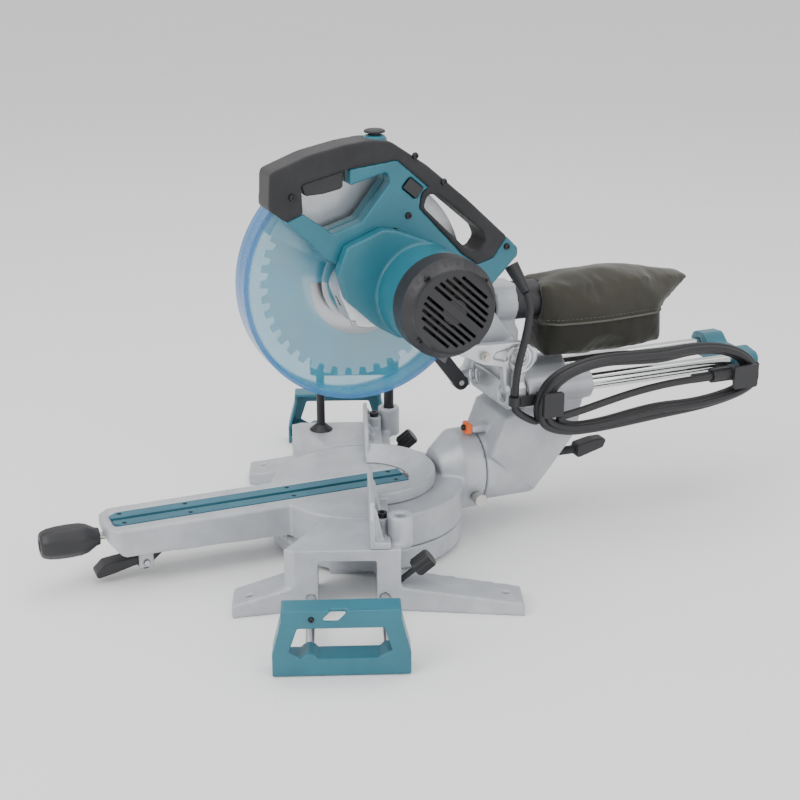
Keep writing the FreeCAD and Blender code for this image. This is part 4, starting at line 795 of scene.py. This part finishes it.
class SAW_OT_castings(bpy.types.Operator):
    """Castings and housings with their moulded corners"""
    bl_idname = "saw.castings"
    bl_label = "Castings"

    def execute(self, context):
        plan = (
            ("base_body", "base_casting", "base", "grey_casting", 2.0, 4, 0.35),
            ("turntable_body", "turntable", "turntable", "grey_casting", 1.9, 4, 0.35),
            ("tilting_arm", "bevel_arm", "bevel_arm", "grey_casting", 1.7, 7, 0.4),
            ("carriage_body", "carriage", "carriage", "bright_casting", 1.1, 6, 0.4),
            ("rail_end_cap", "pole_end_cap", "carriage", "teal_plastic", 1.1, 7, 0.4),
            ("head_casting", "head_arm", "head", "grey_casting", 1.3, 7, 0.4),
            ("gearbox_body", "gearbox", "head", "bright_casting", 1.3, 8, 0.4),
            ("motor_body", "motor_housing", "head", "teal_plastic", 1.2, 8, 0.4),
            ("left_wing", "left_wing_frame", "left_wing", "teal_plastic", 1.1, 4, 0.4),
            ("right_wing", "right_wing_frame", "right_wing", "teal_plastic", 1.1, 4, 0.4),
            ("fence_body", "fence", "base", "grey_casting", 1.3, 4, 0.4),
        )
        for name, node, body, finish, grain, passes, keep in plan:
            piece = rounded_copy(name, node, finish, grain * MM, passes, keep)
            settle(piece, body, finish, node)
        return {"FINISHED"}


class SAW_OT_handle(bpy.types.Operator):
    """Handle shells, soft grip, trigger, switch and their screws"""
    bl_idname = "saw.handle"
    bl_label = "Handle"

    def execute(self, context):
        plan = (
            ("grip_cover", "handle_grip", "head", "overmould", 1.3, 14, 0.4),
            ("far_shell", "far_handle_shell", "head", "teal_plastic", 1.3, 10, 0.4),
            ("near_shell", "near_handle_shell", "head", "teal_plastic", 1.3, 10, 0.4),
            ("trigger_lever", "trigger", "trigger", "black_plastic", 0.8, 10, 0.5),
            ("tilt_lock_lever", "bevel_lock_lever", "bevel_lever", "black_plastic", 0.8, 7, 0.5),
            ("mitre_lever", "mitre_lock_lever", "mitre_lever", "black_plastic", 0.8, 7, 0.5),
        )
        for name, node, body, finish, grain, passes, keep in plan:
            piece = rounded_copy(name, node, finish, grain * MM, passes, keep)
            settle(piece, body, finish, node)
        low, high = arm_box("lock_off_button")
        button = Vector(((low.x + high.x) / 2, (low.y + high.y) / 2, 0))
        collar = turned("button_collar", [(x * MM, r * MM) for x, r in (
            (451, 12.6), (454.5, 12.4), (457, 10.6), (457.9, 9.2), (457.9, 7.3), (451, 7.3), (451, 12.6))],
            ARM @ button, UP)
        settle(add("button_collar", collar, "teal_plastic"), "head", "teal_plastic")
        top = turned("lock_button", [(x * MM, r * MM) for x, r in (
            (high.z / MM - 21, 0), (high.z / MM - 21, 6.9), (high.z / MM - 8, 6.9), (high.z / MM - 7.6, 5),
            (high.z / MM - 3.6, 5), (high.z / MM - 3.5, 10.6), (high.z / MM - 2.6, 11),
            (high.z / MM - 1.4, 10.6), (high.z / MM - 0.5, 8.6), (high.z / MM, 5), (high.z / MM, 0))],
            ARM @ button, UP)
        settle(add("lock_button", top, "black_plastic"), "lock_off_button", "black_plastic", "lock_off_button")
        spots = [(-98, 405), (34, 437), (66, 408), (27, 376), (12, 361), (-32, 340.5), (140, 333)]
        near = arm_box("near_handle_shell")[1].x / MM
        points = [at(near + (0.9 if k < 3 else 0.1), rear, up) for k, (rear, up) in enumerate(spots)]
        case = screws("handle_screws", points, ACROSS, context.scene.saw_sizes.screw_head, "black_steel")
        settle(case, "head", "black_steel")
        return {"FINISHED"}


class SAW_OT_motor(bpy.types.Operator):
    """Motor end cap and its four screws"""
    bl_idname = "saw.motor"
    bl_label = "Motor"

    def execute(self, context):
        head = context.scene.saw_sizes.screw_head
        cap = clean_copy("motor_cap", "motor_end_cap")
        cap.data.materials.clear()
        cap.data.materials.append(FINISHES["black_plastic"])
        cap.data.shade_smooth()
        cap.data.set_sharp_from_angle(angle=math.radians(30))
        settle(cap, "head", "black_plastic", "motor_end_cap")
        face = arm_box("motor_end_cap")[1].x / MM - 8.2
        spots = [(MOTOR.y / MM + 44.6 * math.cos(a), MOTOR.z / MM + 44.6 * math.sin(a))
                 for a in (math.radians(d) for d in (128, 218, 308, 38))]
        settle(screws("cap_screws", [at(face, rear, up) for rear, up in spots], ACROSS, head, "black_steel"),
               "head", "black_steel")
        return {"FINISHED"}


class SAW_OT_guard(bpy.types.Operator):
    """Ground finish of the blade"""
    bl_idname = "saw.guard"
    bl_label = "Blade"

    def execute(self, context):
        for slot in NODES["saw_blade"].material_slots:
            slot.material = FINISHES["blade"]
        return {"FINISHED"}


class SAW_OT_bag(bpy.types.Operator):
    """Dust bag, swelled as cloth, with its piping and stitches"""
    bl_idname = "saw.bag"
    bl_label = "Dust bag"

    def execute(self, context):
        sizes = context.scene.saw_sizes
        piece = clean_copy("bag_cloth", "dust_bag", flat=False)
        low, high = arm_box("dust_bag")
        centre = ARM @ ((low + high) / 2)
        piece.data.transform(Matrix.Translation(centre) @ Matrix.Scale(0.955, 4) @ Matrix.Translation(-centre))
        remesh = piece.modifiers.new("even", "REMESH")
        remesh.mode, remesh.voxel_size, remesh.use_smooth_shade = "VOXEL", 5 * MM, True
        piece = bake(piece)
        rest = [v.co.copy() for v in piece.data.vertices]
        self.swell(context, piece, rest, sizes.bag_swell)
        for vertex in piece.data.vertices:
            crease = noise.fractal(vertex.co * 38, 0.8, 2.0, 3, noise_basis="PERLIN_ORIGINAL")
            vertex.co += piece.data.vertices[vertex.index].normal * crease * 1.1 * MM
        finer = piece.modifiers.new("finer", "SUBSURF")
        finer.levels = finer.render_levels = 1
        piece = bake(piece)
        piece.data.shade_smooth()
        piece.data.materials.clear()
        piece.data.materials.append(FINISHES["bag_fabric"])
        piece.data.materials.append(FINISHES["lower_cloth"])
        seam = BAG_SEAM_HEIGHT
        for face in piece.data.polygons:
            face.material_index = 1 if face.center.z < seam else 0
        settle(piece, "dust_bag", "bag_fabric", "dust_bag")
        self.trim(piece, seam, sizes)
        return {"FINISHED"}

    def swell(self, context, piece, rest, most):
        cloth = piece.modifiers.new("Cloth", "CLOTH")
        cloth.settings.use_pressure = True
        cloth.settings.uniform_pressure_force = 4
        cloth.settings.quality = 4
        cloth.settings.effector_weights.gravity = 0
        cloth.point_cache.frame_start, cloth.point_cache.frame_end = 1, 20
        for number in range(1, 17):
            context.scene.frame_set(number)
        graph = context.evaluated_depsgraph_get()
        moved = [v.co.copy() for v in piece.evaluated_get(graph).data.vertices]
        piece.modifiers.remove(cloth)
        for vertex, start, end in zip(piece.data.vertices, rest, moved):
            shift = end - start
            if shift.length > most:
                shift = shift.normalized() * most
            vertex.co = start + shift
        context.scene.frame_set(1)

    def trim(self, bag, seam, sizes):
        """Piping round the seam and a row of stitches beside it."""
        graph = bpy.context.evaluated_depsgraph_get()
        solid = bag.evaluated_get(graph)
        inverse = bag.matrix_world.inverted()

        def skin(start, direction):
            hit, point, normal, _ = solid.ray_cast(inverse @ start, direction)
            return (point, normal) if hit else None

        low, high = arm_box("dust_bag")
        middle = Vector(((low.x + high.x) / 2, 0, 0))
        loops = {}
        for label, height, proud in (("piping", seam, 0.4 * MM), ("row", seam + 5 * MM, 0.3 * MM)):
            line = []
            span = (low.y + 8 * MM, low.y + 168 * MM)
            for step in range(64):
                angle = 2 * math.pi * step / 64
                along = (span[0] + span[1]) / 2
                start = ARM @ Vector((middle.x, along, height))
                aim = (ACROSS * math.cos(angle) + REAR * math.sin(angle) * 2.2).normalized()
                found = skin(start + aim * 0.0001, aim)
                if found:
                    line.append(found[0] + found[1] * proud)
            loops[label] = line + line[:1]
        if len(loops["piping"]) < 20:
            raise RuntimeError("the bag's seam line missed the cloth")
        piping = add("bag_piping", tube("bag_piping", loops["piping"], 1.3 * MM, 8), "thread")
        settle(piping, "dust_bag", "bag_fabric")
        settle(stitches("bag_stitches", [loops["row"]], sizes.stitch, 0.45 * MM), "dust_bag", "bag_fabric")


class SAW_OT_grips(bpy.types.Operator):
    """Grip ribs of the knobs, and the faceted mitre grip"""
    bl_idname = "saw.grips"
    bl_label = "Knobs and grips"

    def execute(self, context):
        for side in ("left", "right"):
            joint = JOINTS[side + "_knob_turn"]
            axis = Vector(joint["axis"])
            centre = Vector(joint["pos_m"]) + axis * 51 * MM
            grip = ribs(side + "_knob_ribs", centre, axis, 8.9 * MM, 14, 17 * MM, 1.3 * MM, "black_plastic")
            settle(grip, side + "_wing_knob", "black_plastic")
        low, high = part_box("vise_screw")
        centre = Vector(((low.x + high.x) / 2, (low.y + high.y) / 2, high.z - 5 * MM))
        settle(ribs("vise_knob_ribs", centre, UP, 10.8 * MM, 16, 9 * MM, 1.4 * MM, "black_plastic"),
               "vise_screw", "black_steel")
        self.mitre_grip()
        return {"FINISHED"}

    def mitre_grip(self):
        low, high = arm_box("mitre_grip")
        front, axis_height = low.y / MM, (low.z + high.z) / 2 / MM
        profile = [(0, 9.5), (0.6, 12.4), (3, 14.6), (9, 16.6), (18, 17.6), (30, 17.9), (42, 17.4), (49, 15.6),
                   (54, 12.6), (58, 9.8), (61.8, 9)]
        bm = bmesh.new()
        rings, sides = [], 40
        hollow = [(20, 5.6), (1.2, 6.2), (0.2, 7.4)]
        for along, radius in hollow + profile:
            ring = []
            for k in range(sides):
                angle = 2 * math.pi * k / sides
                facet = abs(math.cos(angle * 4)) if radius > 12.2 else 0
                size = radius - facet * 1.1
                ring.append(bm.verts.new(at(size * math.cos(angle), front + along,
                                            axis_height + size * math.sin(angle))))
            rings.append(ring)
        for first, second in zip(rings, rings[1:]):
            for k in range(sides):
                bm.faces.new((first[k], first[(k + 1) % sides], second[(k + 1) % sides], second[k]))
        bm.faces.new(rings[0])
        bm.faces.new(rings[-1])
        bmesh.ops.recalc_face_normals(bm, faces=bm.faces)
        mesh = bpy.data.meshes.new("faceted_grip")
        bm.to_mesh(mesh)
        bm.free()
        mesh.shade_smooth()
        mesh.set_sharp_from_angle(angle=math.radians(50))
        grip = add("faceted_grip", mesh, "black_plastic")
        stud = turned("grip_stud", [(0, 3.95 * MM), (21 * MM, 3.95 * MM)],
                      at(0, front + 61, axis_height), REAR, 20)
        settle(grip, "mitre_grip", "black_plastic", "mitre_grip")
        settle(add("grip_stud", stud, "zinc"), "mitre_grip", "zinc")


class SAW_OT_details(bpy.types.Operator):
    """Mitre scale band and small screws"""
    bl_idname = "saw.details"
    bl_label = "Details"

    def execute(self, context):
        self.mitre_scale(106.4 * MM, 21 * MM, 28.4 * MM)
        head = context.scene.saw_sizes.screw_head
        plan = {
            "wing_screws": ([Vector((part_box("right_wing_frame")[1].x + 0.1 * MM, -58.8 * MM, 59.8 * MM))],
                            (1, 0, 0), head * 0.8, "right_wing", "black_steel"),
            "gearbox_screws": ([at(53.3, rear, up) for rear, up in ((-44, 318), (-34, 268), (62, 328))],
                               ACROSS, head * 0.8, "head", "zinc"),
        }
        for name, (points, axis, size, body, finish) in plan.items():
            settle(screws(name, points, axis, size, finish), body, finish)
        return {"FINISHED"}

    def mitre_scale(self, radius, low, high):
        """A thin graduated band round the front of the base ring."""
        steps, reach = 72, math.radians(52)
        thick = 0.6 * MM
        bm = bmesh.new()
        rows = []
        for k in range(steps + 1):
            angle = -math.pi / 2 - reach + 2 * reach * k / steps
            direction = Vector((math.cos(angle), math.sin(angle), 0))
            rows.append([bm.verts.new(direction * r + Vector((0, 0, z))) for r, z in (
                (radius + 0.05 * MM, low), (radius + thick, low),
                (radius + thick, high), (radius + 0.05 * MM, high))])
        for first, second in zip(rows, rows[1:]):
            for k in range(4):
                bm.faces.new((first[k], first[(k + 1) % 4], second[(k + 1) % 4], second[k]))
        bm.faces.new(rows[0])
        bm.faces.new(rows[-1])
        bmesh.ops.recalc_face_normals(bm, faces=bm.faces)
        mesh = bpy.data.meshes.new("degree_band")
        bm.to_mesh(mesh)
        bm.free()
        FINISHES["degrees"] = degree_scale("degrees", (0, 0, 0), 1.0, (25.2 * MM, 23.4 * MM))
        settle(add("degree_band", mesh, "degrees"), "base", "steel")


class SAW_OT_finishes(bpy.types.Operator):
    """A finish on every frame node that still shows"""
    bl_idname = "saw.finishes"
    bl_label = "Finishes"

    def execute(self, context):
        slots = {row["node"]: row["material_slot"] for row in frame["record"]["subparts"]}
        for node, piece in NODES.items():
            if node == "saw_blade":
                continue
            for slot in piece.material_slots:
                slot.material = FINISHES[slots[node]]
        return {"FINISHED"}


class SAW_PT_panel(bpy.types.Panel):
    bl_label = "Mitre saw"
    bl_idname = "SAW_PT_panel"
    bl_space_type = "VIEW_3D"
    bl_region_type = "UI"
    bl_category = "Mitre saw"

    def draw(self, context):
        for group in (context.scene.saw_sizes, context.scene.saw_colours):
            for name in group.__annotations__:
                self.layout.prop(group, name)
        for operator in OPERATORS:
            self.layout.operator(operator.bl_idname)


OPERATORS = (SAW_OT_stage, SAW_OT_cord, SAW_OT_finishes, SAW_OT_castings, SAW_OT_handle, SAW_OT_motor,
             SAW_OT_guard, SAW_OT_bag, SAW_OT_grips, SAW_OT_details)
CLASSES = (SAW_PG_sizes, SAW_PG_colours, *OPERATORS, SAW_PT_panel)


def register():
    for cls in CLASSES:
        bpy.utils.register_class(cls)
    bpy.types.Scene.saw_sizes = bpy.props.PointerProperty(type=SAW_PG_sizes)
    bpy.types.Scene.saw_colours = bpy.props.PointerProperty(type=SAW_PG_colours)


def unregister():
    del bpy.types.Scene.saw_sizes
    del bpy.types.Scene.saw_colours
    for cls in reversed(CLASSES):
        bpy.utils.unregister_class(cls)


def main():
    register()
    make_finishes(bpy.context.scene.saw_colours)
    for operator in OPERATORS:
        group, name = operator.bl_idname.split(".")
        if getattr(getattr(bpy.ops, group), name)() != {"FINISHED"}:
            raise RuntimeError(operator.bl_idname + " did not finish")


if __name__ == "__main__":
    main()
